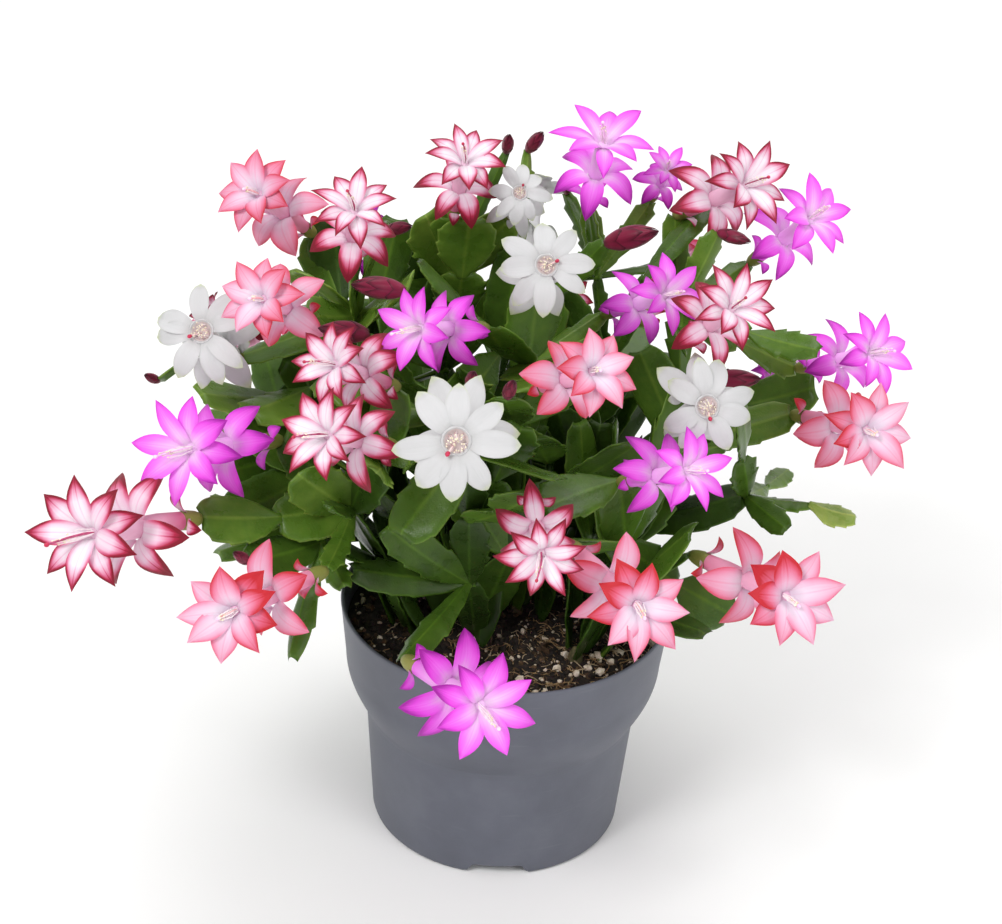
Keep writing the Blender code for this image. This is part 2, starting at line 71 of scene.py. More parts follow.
def add_node(tree, kind, settings=None, inputs=None, stops=()):
    """Any shader node. An input is a value, a hex colour or the output that feeds it."""
    made = tree.nodes.new("ShaderNode" + kind)
    for name, value in (settings or {}).items():
        setattr(made, name, value)
    for name, value in (inputs or {}).items():
        if isinstance(value, bpy.types.NodeSocket):
            tree.links.new(value, made.inputs[name])
        else:
            made.inputs[name].default_value = linear(value) if isinstance(value, str) else value
    for index, (place, value) in enumerate(stops):
        ramp = made.color_ramp.elements
        stop = ramp[index] if index < 2 else ramp.new(place)
        stop.position = place
        stop.color = linear(value) if isinstance(value, str) else (value, value, value, 1.0)
    return made


def new_material(name):
    """An empty node material."""
    made = bpy.data.materials.new(name)
    made.use_nodes = True
    made.node_tree.nodes.clear()
    return made, made.node_tree


def link(thing):
    """Put an object in the scene."""
    bpy.context.scene.collection.objects.link(thing)
    return thing


print("anthracite in linear light:", [round(c, 3) for c in linear("#686B76")])

# %% [markdown]
# ## Camera and studio
# The plant is looked down on from the front, at about 33 degrees above level, through a 90 mm lens
# almost a metre away. The camera has a slight roll. A pale floor and three wide soft lamps make the
# even light of a plant catalogue, with a bright key from the upper left.

# %% Camera
CAMERA_REACH, CAMERA_RISE, CAMERA_ROLL = 988.0, 33.5, 3.2  # mm from the middle of the rim, degrees
CAMERA_AIM = Vector((-5.0, 0.0, 160.6))
CAMERA_LENS = 90.0
POT_RIM = 99.0

rise = math.radians(CAMERA_RISE)
camera_place = Vector((0.0, -CAMERA_REACH * math.cos(rise), CAMERA_REACH * math.sin(rise) + POT_RIM))
camera = link(bpy.data.objects.new("camera", bpy.data.cameras.new("camera")))
camera.data.lens = CAMERA_LENS
camera.data.clip_start, camera.data.clip_end = 0.01, 50.0
sight = (CAMERA_AIM - camera_place).to_track_quat("-Z", "Y")
camera.matrix_world = (Matrix.Translation(camera_place * MM) @ sight.to_matrix().to_4x4()
                       @ Matrix.Rotation(math.radians(CAMERA_ROLL), 4, "Z"))
bpy.context.scene.camera = camera
print("camera at", [round(c) for c in camera_place], "mm")

# %% Floor and lamps
FLOOR_HALF = 6.0  # half the floor's side, in metres
floor_mesh = bpy.data.meshes.new("floor")
corners = [(x * FLOOR_HALF, y * FLOOR_HALF, 0.0) for x, y in ((-1, -1), (1, -1), (1, 1), (-1, 1))]
floor_mesh.from_pydata(corners, [], [(0, 1, 2, 3)])
floor = link(bpy.data.objects.new("floor", floor_mesh))
paper, tree = new_material("seamless_paper")
shader = add_node(tree, "BsdfPrincipled", inputs={"Base Color": "#F6F6F5", "Roughness": 0.9})
add_node(tree, "OutputMaterial", inputs={"Surface": shader.outputs[0]})
floor_mesh.materials.append(paper)

LAMPS = {  # place in metres, width in metres, watts
    "key": ((-1.0, -1.4, 1.9), 0.8, 30.0),
    "fill": ((1.6, -1.4, 1.2), 1.2, 12.0),
    "top": ((0.2, 0.9, 2.2), 1.5, 20.0),
}
LAMP_AIM = Vector((0.0, 0.0, 0.16))
SKY_STRENGTH = 0.6
for name, (place, width, power) in LAMPS.items():
    lamp = bpy.data.lights.new(name, "AREA")
    lamp.shape, lamp.size, lamp.energy = "DISK", width, power
    holder = link(bpy.data.objects.new(name, lamp))
    holder.location = place
    holder.rotation_euler = (LAMP_AIM - Vector(place)).to_track_quat("-Z", "Y").to_euler()

studio = bpy.data.worlds.new("studio")
studio.use_nodes = True
studio.node_tree.nodes["Background"].inputs["Color"].default_value = linear("#FFFFFF")
studio.node_tree.nodes["Background"].inputs["Strength"].default_value = SKY_STRENGTH
bpy.context.scene.world = studio
bpy.context.scene.view_settings.view_transform = "Standard"
print("lamps:", ", ".join(LAMPS))

# %% [markdown]
# ## Building surfaces
# Each piece is one mesh, gathered point by point. Two shapes are enough for the whole plant: a thin
# closed sheet (a petal, a stem segment) and a round tube (a flower's tube, a stamen, a root). Every
# point also keeps its place on the sheet, across and along, in a UV map, and a number for how deep
# its colour is. The materials read both, so a petal can be pale in the middle and red at its edge.

# %% Surface builder
class Surface:
    """The points and faces of one piece, in millimetres."""

    def __init__(self):
        self.points, self.charts, self.tones = [], [], []
        self.faces, self.finishes = [], []

    def add_point(self, point, chart=(0.5, 0.5), tone=0.5):
        self.points.append(Vector(point))
        self.charts.append(chart)
        self.tones.append(tone)
        return len(self.points) - 1

    def add_face(self, corners, finish):
        self.faces.append(tuple(corners))
        self.finishes.append(finish)

    def add_sheet(self, grid, finish, tone=0.5, under=0.0):
        """Close rows of (point, half thickness, chart) into a lens; a row may be a single point.
        under is added to the tone on the lower side."""
        top, bottom = [], []
        for i, row in enumerate(grid):
            top.append([])
            bottom.append([])
            for j, (point, half, chart) in enumerate(row):
                rim = i in (0, len(grid) - 1) or j in (0, len(row) - 1)
                top[-1].append(self.add_point(point if rim else point + half, chart, tone))
                bottom[-1].append(top[-1][-1] if rim else self.add_point(point - half, chart, tone + under))
        for i in range(len(grid) - 1):
            for j in range(max(len(grid[i]), len(grid[i + 1])) - 1):
                corners = ((i, j), (i, j + 1), (i + 1, j + 1), (i + 1, j))
                for layer, turn in ((top, 1), (bottom, -1)):
                    ids = [layer[a][min(b, len(grid[a]) - 1)] for a, b in corners]
                    face = tuple(dict.fromkeys(ids))[::turn]
                    if len(face) > 2:
                        self.add_face(face, finish)

    def add_tube(self, spine, radii, sides, finish, tone=0.5):
        """A round tube along a list of points; it is closed at both ends."""
        first = len(self.points)
        last = len(spine) - 1
        for i, (centre, radius) in enumerate(zip(spine, radii)):
            heading = spine[min(i + 1, last)] - spine[max(i - 1, 0)]
            turn = heading.to_track_quat("Z", "Y")
            for side in range(sides):
                angle = math.tau * side / sides
                spoke = Vector((radius * math.cos(angle), radius * math.sin(angle), 0.0))
                self.add_point(centre + turn @ spoke, (0.5, i / last), tone)
        for i in range(last):
            low = first + i * sides
            for side in range(sides):
                after = (side + 1) % sides
                self.add_face((low + side, low + after, low + sides + after, low + sides + side), finish)
        self.add_face([first + side for side in reversed(range(sides))], finish)
        self.add_face([first + last * sides + side for side in range(sides)], finish)


def ball(level):
    """Points and faces of a ball of radius 1."""
    bm = bmesh.new()
    bmesh.ops.create_icosphere(bm, subdivisions=level, radius=1.0)
    points = [vertex.co.copy() for vertex in bm.verts]
    faces = [[vertex.index for vertex in face.verts] for face in bm.faces]
    bm.free()
    return points, faces


BALLS = {level: ball(level) for level in (1, 2)}


def add_pebble(surface, level, centre, radii, turn, rough, finish, rng, tone=0.5):
    """A lumpy ball: radii along its own axes, turned, and rough as a share of its size."""
    points, faces = BALLS[level]
    first = len(surface.points)
    for point in points:
        grown = point * (1.0 + rng.uniform(-rough, rough))
        spot = Vector(a * b for a, b in zip(grown, radii))
        surface.add_point(centre + turn @ spot, (0.5, 0.5 + 0.5 * point.z), tone)
    for face in faces:
        surface.add_face([first + corner for corner in face], finish)


def make_piece(name, surface, nodes, matrix=None, sharp=50.0):
    """One mesh object that stands for its CAD nodes and rides on the plant's one body. Edges that turn
    more than sharp degrees stay crisp."""
    mesh = bpy.data.meshes.new(name)
    mesh.from_pydata([point * MM for point in surface.points], [], surface.faces)
    finishes = list(dict.fromkeys(surface.finishes))
    for finish in finishes:
        mesh.materials.append(finish)
    mesh.polygons.foreach_set("material_index", [finishes.index(finish) for finish in surface.finishes])
    chart = mesh.uv_layers.new(name="sheet")
    corners = [surface.charts[loop.vertex_index] for loop in mesh.loops]
    chart.data.foreach_set("uv", [c for corner in corners for c in corner])
    tone = mesh.attributes.new("tone", "FLOAT", "POINT")
    tone.data.foreach_set("value", surface.tones)
    bm = bmesh.new()
    bm.from_mesh(mesh)
    bmesh.ops.recalc_face_normals(bm, faces=bm.faces)
    bm.to_mesh(mesh)
    bm.free()
    mesh.shade_smooth()
    mesh.set_sharp_from_angle(angle=math.radians(sharp))
    if matrix:
        mesh.transform(matrix)
    piece = link(bpy.data.objects.new(name, mesh))
    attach(piece, "root")
    if nodes:
        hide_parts(*nodes)
    return piece


def smooth_curve(table, x):
    """The value at x of a smooth curve through (x, value) points."""
    last = len(table) - 1
    index = max([i for i in range(last) if table[i][0] <= x] or [0])
    slopes = []
    for i in (index, index + 1):
        low, high = max(i - 1, 0), min(i + 1, last)
        slopes.append((table[high][1] - table[low][1]) / (table[high][0] - table[low][0]))
    (x0, y0), (x1, y1) = table[index:index + 2]
    t = min(max((x - x0) / (x1 - x0), 0.0), 1.0)
    bulge = (x1 - x0) * t * (1.0 - t) * ((1.0 - t) * slopes[0] - t * slopes[1])
    return y0 + (y1 - y0) * t * t * (3.0 - 2.0 * t) + bulge


def ease(low, high, x):
    """0 below low, 1 above high and a smooth step between them."""
    t = min(max((x - low) / (high - low), 0.0), 1.0)
    return t * t * (3.0 - 2.0 * t)


print("ready-made balls:", {level: len(shape[1]) for level, shape in BALLS.items()}, "faces")

# %% [markdown]
# ## The pot
# A 13 cm nursery pot with a wide collar, a round shoulder and a body that narrows a little towards
# its base. It could be turned from one outline, and the real mould is made that way, so a lathe is
# the natural tool. Three channels under the base let water out: they are cut by lifting the points
# that lie in them, which keeps the surface clean. Each channel's roof rises from 2.8 mm inside to
# 4.8 mm at its mouth. The drain holes go through the floor behind them.

# %% Pot outline
COLLAR_RADIUS, COLLAR_HEIGHT = 62.5, 75.0
RIM_RADIUS = 65.0
NECK_RADIUS, NECK_HEIGHT = 54.4, 52.5
BODY_RADIUS, BODY_HEIGHT = 53.8, 49.5
BASE_RADIUS, BASE_EDGE = 50.2, 1.8
POT_WALL, POT_FLOOR = 1.5, 4.5
CHANNEL_ANGLES = (-87.0, 33.0, 153.0)
CHANNEL_HALF, CHANNEL_ROUND = 11.2, 1.9  # half its width, and how far its side slopes
CHANNEL_HEIGHT, CHANNEL_MOUTH = 2.8, 4.8
CHANNEL_INNER, CHANNEL_FLARE = 28.0, (42.0, 46.0)  # where it starts and where its roof rises, from the axis
DRAIN_RADIUS, DRAIN_PLACE = 4.5, 38.0
WALL_FROM = 3.8  # points below this belong to the underside
INSIDE_FOOT, FLOOR_CORNER = 8.0, 3.0  # the inner wall stops short of the floor and slopes in
POT_SIDES = 200


def direction(compass, rise):
    """Unit vector from a compass angle about Z and a rise above level, both in degrees."""
    flat = math.cos(math.radians(rise))
    turn = math.radians(compass)
    return Vector((flat * math.cos(turn), flat * math.sin(turn), math.sin(math.radians(rise))))


def pot_radius(height):
    """Outer radius of the pot wall at a height."""
    if height >= COLLAR_HEIGHT:
        part = (height - COLLAR_HEIGHT) / (POT_RIM - COLLAR_HEIGHT)
        return COLLAR_RADIUS + (RIM_RADIUS - COLLAR_RADIUS) * part
    if height >= NECK_HEIGHT:
        part = (height - NECK_HEIGHT) / (COLLAR_HEIGHT - NECK_HEIGHT)
        return NECK_RADIUS + (COLLAR_RADIUS - NECK_RADIUS) * math.sin(0.5 * math.pi * part)
    if height >= BODY_HEIGHT:
        return BODY_RADIUS + (NECK_RADIUS - BODY_RADIUS) * ease(BODY_HEIGHT, NECK_HEIGHT, height)
    part = (height - BASE_EDGE) / (BODY_HEIGHT - BASE_EDGE)
    return BASE_RADIUS + (BODY_RADIUS - BASE_RADIUS) * part


def channel_lift(point):
    """How far the underside is lifted at a point by the nearest channel."""
    lift = 0.0
    for angle in CHANNEL_ANGLES:
        along = direction(angle, 0.0)
        reach = point.dot(along)
        if reach > CHANNEL_INNER:
            off = abs(point.dot(UP.cross(along)))
            roof = CHANNEL_HEIGHT + (CHANNEL_MOUTH - CHANNEL_HEIGHT) * ease(*CHANNEL_FLARE, reach)
            side = ease(CHANNEL_HALF - CHANNEL_ROUND, CHANNEL_HALF + CHANNEL_ROUND, off)
            lift = max(lift, roof * (1.0 - side))
    return lift


def lathe(surface, outline, sides, finish, wobble=None):
    """Turn (radius, height) points about Z; both ends lie on the axis. wobble may move a point."""
    first = len(surface.points)
    for radius, height in outline:
        if radius == 0.0:
            surface.add_point((0.0, 0.0, height))
            continue
        for side in range(sides):
            angle = math.tau * side / sides
            point = Vector((radius * math.cos(angle), radius * math.sin(angle), height))
            surface.add_point(wobble(point) if wobble else point)
    final = len(surface.points) - 1
    for side in range(sides):
        after = (side + 1) % sides
        surface.add_face((first, first + 1 + after, first + 1 + side), finish)
        surface.add_face((final, final - sides + side, final - sides + after), finish)
        for ring in range(len(outline) - 3):
            low = first + 1 + ring * sides
            surface.add_face((low + side, low + after, low + sides + after, low + sides + side), finish)


rim = [(RIM_RADIUS, POT_RIM - 0.9), (RIM_RADIUS - 0.15, POT_RIM - 0.3), (RIM_RADIUS - 0.5, POT_RIM),
       (RIM_RADIUS - 1.0, POT_RIM), (RIM_RADIUS - 1.35, POT_RIM - 0.3), (RIM_RADIUS - 1.5, POT_RIM - 0.9)]
BANDS = ((BASE_EDGE, BODY_HEIGHT, 10), (BODY_HEIGHT, NECK_HEIGHT, 4), (NECK_HEIGHT, COLLAR_HEIGHT, 16),
         (COLLAR_HEIGHT, POT_RIM - 2.0, 6))  # from, to, rows
wall_heights = [BASE_EDGE]
for low, high, rows in BANDS:
    wall_heights += [low + step * (high - low) / rows for step in range(1, rows + 1)]
outside = [(pot_radius(height), height) for height in wall_heights]
inside = [(pot_radius(height) - POT_WALL, height) for height in reversed(wall_heights) if height > INSIDE_FOOT]
under = [(0.0, 0.0), (CHANNEL_INNER - 1.0, 0.0), (CHANNEL_INNER + 1.0, 0.0), (38.0, 0.0), (44.0, 0.0),
         (BASE_RADIUS - 2.2, 0.0), (BASE_RADIUS - 1.0, 0.3), (BASE_RADIUS - 0.3, 0.9)]
FLOOR_RADIUS = pot_radius(POT_FLOOR) - POT_WALL - FLOOR_CORNER
hollow = [(FLOOR_RADIUS, POT_FLOOR), (30.0, POT_FLOOR), (0.0, POT_FLOOR)]
pot_outline = under + outside + rim + inside + hollow
print("pot outline:", len(pot_outline), "points")

# %% [markdown]
# ### Moulded polypropylene
# The pot is injection-moulded polypropylene coloured anthracite. It comes out of a fine-textured
# steel mould with a satin skin, so it shows broad soft highlights and no mirror. Handling leaves
# pale, mostly level rub marks, and dust sits in the grain. The grain is 0.4 mm and the clouding 25 mm.
# The rubs are 17 mm long and 1 mm high.

# %% Pot material
CLOUD_MM, GRAIN_MM = 25.0, 0.4
pot_plastic, tree = new_material("polypropylene_satin_anthracite")
place = add_node(tree, "TexCoord").outputs["Object"]
cloud = add_node(tree, "TexNoise", inputs={
    "Vector": place, "Scale": 1000.0 / CLOUD_MM, "Detail": 4.0, "Roughness": 0.6})
level = add_node(tree, "Mapping", inputs={"Vector": place, "Scale": (60.0, 60.0, 900.0)})
rubs = add_node(tree, "TexNoise", inputs={"Vector": level.outputs[0], "Scale": 1.0, "Detail": 5.0})
rub_share = add_node(tree, "ValToRGB", inputs={"Fac": rubs.outputs["Fac"]}, stops=[(0.62, 0.0), (0.85, 0.22)])
base = add_node(tree, "ValToRGB", inputs={"Fac": cloud.outputs["Fac"]},
                stops=[(0.25, "#52555F"), (0.5, "#595C67"), (0.8, "#636670")])
mixed = add_node(tree, "Mix", {"data_type": "RGBA"},
                 {0: rub_share.outputs[0], 6: base.outputs[0], 7: "#85888F"})
gloss = add_node(tree, "MapRange", inputs={"Value": cloud.outputs["Fac"], 3: 0.42, 4: 0.56})
grain = add_node(tree, "TexNoise", inputs={"Vector": place, "Scale": 1000.0 / GRAIN_MM, "Detail": 2.0})
bump = add_node(tree, "Bump", inputs={"Height": grain.outputs["Fac"], "Strength": 0.25, "Distance": 0.0002})
shader = add_node(tree, "BsdfPrincipled", inputs={
    "Base Color": mixed.outputs[2], "Roughness": gloss.outputs[0], "Normal": bump.outputs[0], "IOR": 1.49})
add_node(tree, "OutputMaterial", inputs={"Surface": shader.outputs[0]})
print("pot finish:", pot_plastic.name)

# %% Pot
def lifted(point):
    """Lift the underside in its channels and leave the wall alone."""
    if point.z < WALL_FROM:
        point.z = max(point.z, channel_lift(point))
    return point


def bored(piece, spots, radius, low, high):
    """Drill upright holes and keep the result as the piece's own mesh."""
    drill = Surface()
    for spot in spots:
        drill.add_tube([spot + UP * low, spot + UP * high], (radius, radius), 24, pot_plastic)
    mesh = bpy.data.meshes.new("drill")
    mesh.from_pydata([point * MM for point in drill.points], [], drill.faces)
    cutter = link(bpy.data.objects.new("drill", mesh))
    cut = piece.modifiers.new("holes", "BOOLEAN")
    cut.operation, cut.solver, cut.object = "DIFFERENCE", "EXACT", cutter
    bpy.context.view_layer.update()
    drilled = bpy.data.meshes.new_from_object(piece.evaluated_get(bpy.context.evaluated_depsgraph_get()))
    piece.modifiers.clear()
    piece.data = drilled
    bpy.data.objects.remove(cutter)


surface = Surface()
lathe(surface, pot_outline, POT_SIDES, pot_plastic, lifted)
pot = make_piece("nursery_pot", surface, ["pot"], sharp=35.0)
drains = [direction(angle, 0.0) * DRAIN_PLACE for angle in CHANNEL_ANGLES]
bored(pot, drains, DRAIN_RADIUS, -2.0, POT_FLOOR + 2.5)
print("pot:", len(pot.data.polygons), "faces")

# %% [markdown]
# ## The potting mix
# Peat with bark, perlite and old roots, filled to a finger below the rim and a little mounded. The
# bed is one closed body: its top is a fine net lifted by noise at the size of crumbs (1 to 6 mm).
# Loose crumbs, perlite, bark and roots lie on it as small pieces of their own, because their sharp
# little shadows are what makes a bed of mix look real.
#
# Peat is dark and damp, perlite is expanded glass, bark and roots are dry fibre. All of them are
# dull and rough, so one finish serves for all, with its own colours and size of grain for each.

# %% Mix materials
def crumb_material(name, dark, middle, pale, roughness, grain_mm):
    """A dull mineral or fibre finish. Its noise starts four grains wide and its detail goes below one."""
    made, tree = new_material(name)
    place = add_node(tree, "TexCoord").outputs["Object"]
    mottle = add_node(tree, "TexNoise", inputs={
        "Vector": place, "Scale": 1000.0 / grain_mm / 4.0, "Detail": 6.0, "Roughness": 0.7})
    colour = add_node(tree, "ValToRGB", inputs={"Fac": mottle.outputs["Fac"]},
                      stops=[(0.32, dark), (0.52, middle), (0.74, pale)])
    bump = add_node(tree, "Bump", inputs={
        "Height": mottle.outputs["Fac"], "Strength": 0.8, "Distance": 0.0006})
    shader = add_node(tree, "BsdfPrincipled", inputs={
        "Base Color": colour.outputs[0], "Roughness": roughness, "Normal": bump.outputs[0]})
    add_node(tree, "OutputMaterial", inputs={"Surface": shader.outputs[0]})
    return made


peat = crumb_material("peat_damp", "#0E0B09", "#201812", "#46372A", 0.9, 0.5)
perlite = crumb_material("perlite_expanded", "#A8957A", "#DCCDB6", "#FBF4E8", 0.8, 0.6)
bark = crumb_material("bark_composted", "#22180F", "#49351F", "#7C6140", 0.85, 0.5)
root = crumb_material("root_dry", "#5E4830", "#94764F", "#C9B084", 0.8, 0.4)
straw = crumb_material("fibre_straw", "#7A6850", "#B8A382", "#E0CFAE", 0.8, 0.4)
print("mix finishes:", peat.name, perlite.name, bark.name, root.name)

# %% Bed of mix
MIX_EDGE, MIX_CROWN = 88.5, 91.5
MIX_GAP = 0.3
MIX_RADIUS = pot_radius(MIX_EDGE) - POT_WALL - MIX_GAP
CRUMBS = ((1.3, 6.0), (0.9, 2.6), (0.5, 1.3))  # height and width of the crumbs of each size
BED_SIDES, BED_RINGS = 240, 75


def mix_height(x, y):
    """Height of the bed: a low mound with crumbs of three sizes."""
    reach = math.hypot(x, y) / MIX_RADIUS
    mound = MIX_EDGE + (MIX_CROWN - MIX_EDGE) * (1.0 - reach * reach)
    spot = Vector((x, y, 3.0))
    crumbs = sum(height * noise.noise(spot / width) for height, width in CRUMBS)
    return mound - 0.5 + crumbs * (1.0 - ease(0.97, 1.0, reach))


def crumbled(point):
    """Put a point of the bed's top at its crumbly height."""
    if point.z > MIX_EDGE - 0.1:
        point.z = mix_height(point.x, point.y)
    return point


surface = Surface()
heights = (POT_FLOOR + 3.0, BODY_HEIGHT, NECK_HEIGHT, 58.0, 64.0, 70.0, COLLAR_HEIGHT, 82.0)
outline = [(0.0, POT_FLOOR + MIX_GAP), (FLOOR_RADIUS - MIX_GAP, POT_FLOOR + MIX_GAP)]
outline += [(pot_radius(height) - POT_WALL - MIX_GAP, height) for height in heights]
outline += [(MIX_RADIUS * (1.0 - step / BED_RINGS), MIX_EDGE) for step in range(BED_RINGS)] + [(0.0, MIX_CROWN)]
lathe(surface, outline, BED_SIDES, peat, crumbled)
bed = make_piece("potting_mix_bed", surface, ["potting_mix"], sharp=180.0)
print("bed:", len(bed.data.polygons), "faces")

# %% [markdown]
# ### Loose pieces on the bed
# Crumbs, perlite and bark are lumps: a small ball, flattened, turned and made rough point by point.
# Roots and fibres are thin tubes that wander over the bed. Seeded chance puts them down, so they are
# the same each time, and more of the perlite lies at the front right, as watering leaves it.

# %% Loose crumbs, perlite and bark
def scatter(name, count, sizes, finishes, seed, squash=0.75, front=0.0):
    """Lumps lying on the bed; front moves more of them, and the larger, to the right and front."""
    rng = random.Random(seed)
    surface = Surface()
    while count:
        reach = MIX_RADIUS * 0.97 * math.sqrt(rng.random())
        spot = direction(rng.uniform(0.0, 360.0), 0.0) * reach
        share = 0.5 + 0.5 * (spot.x * 0.6 - spot.y * 0.8) / MIX_RADIUS
        if rng.random() > 1.0 - front * (1.0 - share):
            continue
        size = rng.uniform(*sizes) * (1.0 - 0.4 * front * (1.0 - share)) * 0.5
        radii = (size * rng.uniform(0.8, 1.3), size * rng.uniform(0.7, 1.0), size * squash)
        turn = Quaternion(direction(rng.uniform(0.0, 360.0), rng.uniform(-60.0, 90.0)), rng.uniform(0.0, 6.0))
        spot.z = mix_height(spot.x, spot.y) + 0.35 * size
        add_pebble(surface, 1, spot, radii, turn, 0.16, rng.choice(finishes), rng)
        count -= 1
    piece = make_piece(name, surface, [], sharp=40.0)
    print(name + ":", len(piece.data.polygons), "faces")


scatter("mix_crumbs", 1000, (1.0, 3.6), [peat, peat, peat, bark], 11)
scatter("mix_perlite_fine", 420, (0.7, 2.0), [perlite], 12, front=0.5)
scatter("mix_perlite_coarse", 75, (2.2, 5.0), [perlite], 13, front=0.9)
scatter("mix_bark", 60, (2.5, 6.5), [bark], 14, squash=0.3)

# %% Roots and fibres
def fibres(name, count, steps, stride, thickness, hump_height, seed):
    """Threads lying on the bed, most of them to the front right."""
    rng = random.Random(seed)
    surface = Surface()
    for _ in range(count):
        start = direction(rng.gauss(-50.0, 55.0), 0.0) * MIX_RADIUS * math.sqrt(rng.uniform(0.04, 0.9))
        heading = rng.uniform(0.0, math.tau)
        rise = rng.uniform(*hump_height)
        spine = []
        for step in range(steps):
            heading += rng.uniform(-0.7, 0.7)
            start = start + Vector((math.cos(heading), math.sin(heading), 0.0)) * stride
            start = start * min(1.0, 0.95 * MIX_RADIUS / max(start.xy.length, 1.0))
            hump = rise * math.sin(math.pi * step / (steps - 1))
            spine.append(Vector((start.x, start.y, mix_height(start.x, start.y) + 0.3 + hump)))
        thick = rng.uniform(*thickness)
        radii = [thick * (1.0 - 0.5 * step / steps) for step in range(steps)]
        surface.add_tube(spine, radii, 5, rng.choice([root, root, straw, bark]), rng.random())
    piece = make_piece(name, surface, [])
    print(name + ":", len(piece.data.polygons), "faces")


fibres("mix_roots", 120, 9, 1.5, (0.12, 0.28), (0.2, 1.5), 15)
fibres("mix_fibres", 620, 4, 1.2, (0.1, 0.22), (0.1, 0.8), 16)

# %% [markdown]
# ## The plan of the plant
# Every flower, bud and leafy tip has a listed place, and so have the joints of each main
# stem. These are the same lists that the plain model was grown from, so the detailed pieces land in
# the plain ones. The rest of a shoot is grown: one flat segment after another, about 42 mm long, from
# the nearest joint of its cutting, bending and turning to keep clear of what is already there.

# %% Places
STEM_START = 95.0  # where the plain model's main stems start
SEGMENT_LENGTH, SEGMENT_WIDTH, STEM_WIDTH = 42.0, 23.5, 16.0
WIDTH_SPREAD = 3.0  # how much the segments' width varies
CLEARANCE = 5.0  # wanted between a shoot and its neighbours
FLOWER_LENGTH, LOWER_WHORL = 42.0, 17.0
GAP = 0.3  # between a segment's tip and the flower or bud on it

# Rooted cuttings: foot in the potting mix, then the joints of the main stem up to its crown
CUTTINGS = {
    "front": [(-11, -14), (-14, -32, 126), (-15, -48, 164)],
    "front_left": [(-38, -10), (-46, -24, 126), (-58, -40, 160)],
    "front_right": [(28, -26), (36, -36, 124), (42, -44, 154)],
    "right": [(38, 12), (50, 16, 126), (64, 16, 162)],
    "left": [(-36, 22), (-46, 25, 128), (-60, 24, 168)],
    "middle": [(4, 4), (3, 1, 130), (4, -4, 170), (3, -8, 208)],
    "back_left": [(-18, 40), (-24, 48, 128), (-30, 58, 168)],
    "back_right": [(22, 38), (28, 47, 128), (34, 57, 167)],
}

# Flowers: colour, cutting, middle of the rosette, compass angle and rise of the axis, size
FLOWERS = [
    ("crimson", "left", (-61, -25, 275), -84, 60, 0.92),
    ("crimson", "back_left", (-24, 15, 278), -76, 59, 0.9),
    ("crimson", "right", (82, 45, 262), -44, 37, 1.05),
    ("crimson", "right", (74, -35, 250), -56, 46, 0.95),
    ("crimson", "front_left", (-64, -72, 238), -134, 33, 0.9),
    ("crimson", "front_left", (-63, -112, 233), -130, 28, 0.95),
    ("crimson", "front_left", (-143, -107, 186), -131, 17, 1.25),
    ("crimson", "front", (11, -120, 196), -83, -3, 0.9),
    ("salmon", "left", (-101, 20, 258), -133, 42, 0.95),
    ("salmon", "left", (-91, -50, 250), -121, 33, 0.9),
    ("salmon", "middle", (25, -85, 248), -50, 35, 0.92),
    ("salmon", "right", (133, 2, 183), -52, 18, 1.05),
    ("salmon", "front_left", (-93, -115, 163), -132, 3, 1.05),
    ("salmon", "front_right", (45, -115, 175), -53, -4, 1.0),
    ("salmon", "front_right", (101, -70, 153), -42, 5, 1.1),
    ("magenta", "back_right", (27, 55, 272), -78, 62, 1.0),
    ("magenta", "back_right", (53, 75, 253), -71, 55, 0.6),
    ("magenta", "right", (109, 55, 245), -41, 47, 0.98),
    ("magenta", "middle", (-36, -60, 247), -131, 19, 0.92),
    ("magenta", "middle", (52, -10, 241), -44, 34, 0.9),
    ("magenta", "right", (136, 35, 199), -38, 31, 0.95),
    ("magenta", "front_left", (-114, -72, 201), -132, 17, 1.1),
    ("magenta", "front_right", (61, -75, 206), -44, 32, 0.92),
    ("magenta", "front", (-6, -112, 127), -51, 9, 1.15),
    ("white", "back_left", (-4, 20, 263), -80, 45, 0.65),
    ("white", "middle", (7, -35, 261), -85, 38, 0.92),
    ("white", "left", (-113, -35, 227), -106, 39, 1.0),
    ("white", "front", (-19, -121, 239), -90, 19, 1.1),
    ("white", "front_right", (66, -54, 220), -83, 22, 0.98),
    ("magenta", "back_left", (-66, 104, 206), 118, 30, 1.0),
    ("white", "back_right", (2, 126, 214), 88, 30, 1.05),
    ("salmon", "back_right", (66, 124, 192), 62, 22, 1.0),
    ("crimson", "left", (-124, 72, 178), 152, 20, 1.0),
    ("magenta", "right", (116, 96, 160), 42, 12, 1.0),
    ("salmon", "back_left", (-92, 112, 150), 130, 5, 1.05),
    ("crimson", "back_right", (18, 140, 160), 84, 0, 1.1),
    ("white", "back_left", (-44, 134, 178), 108, 14, 1.0),
]

# Buds: cutting, seat, compass angle and rise in degrees, length
BUDS = [
    ("back_left", (-10, 60, 262), -82, 56, 15),
    ("back_left", (-2, 58, 264), -53, 51, 17),
    ("middle", (29, 25, 243), -23, 26, 23),
    ("right", (72, 45, 241), -33, 2, 17),
    ("left", (-52, 8, 251), -36, 26, 16),
    ("left", (-42, -30, 246), -156, 15, 21),
    ("middle", (-54, -38, 232), -153, 17, 20),
    ("middle", (-17, -70, 231), -76, 53, 14),
    ("middle", (-4, -75, 230), -71, 56, 15),
    ("left", (-135, 0, 187), -122, 37, 12),
    ("right", (71, 2, 200), -25, 18, 21),
    ("front_left", (-92, -75, 157), -124, 45, 14),
    ("back_right", (14, 88, 234), -76, 58, 16),
]

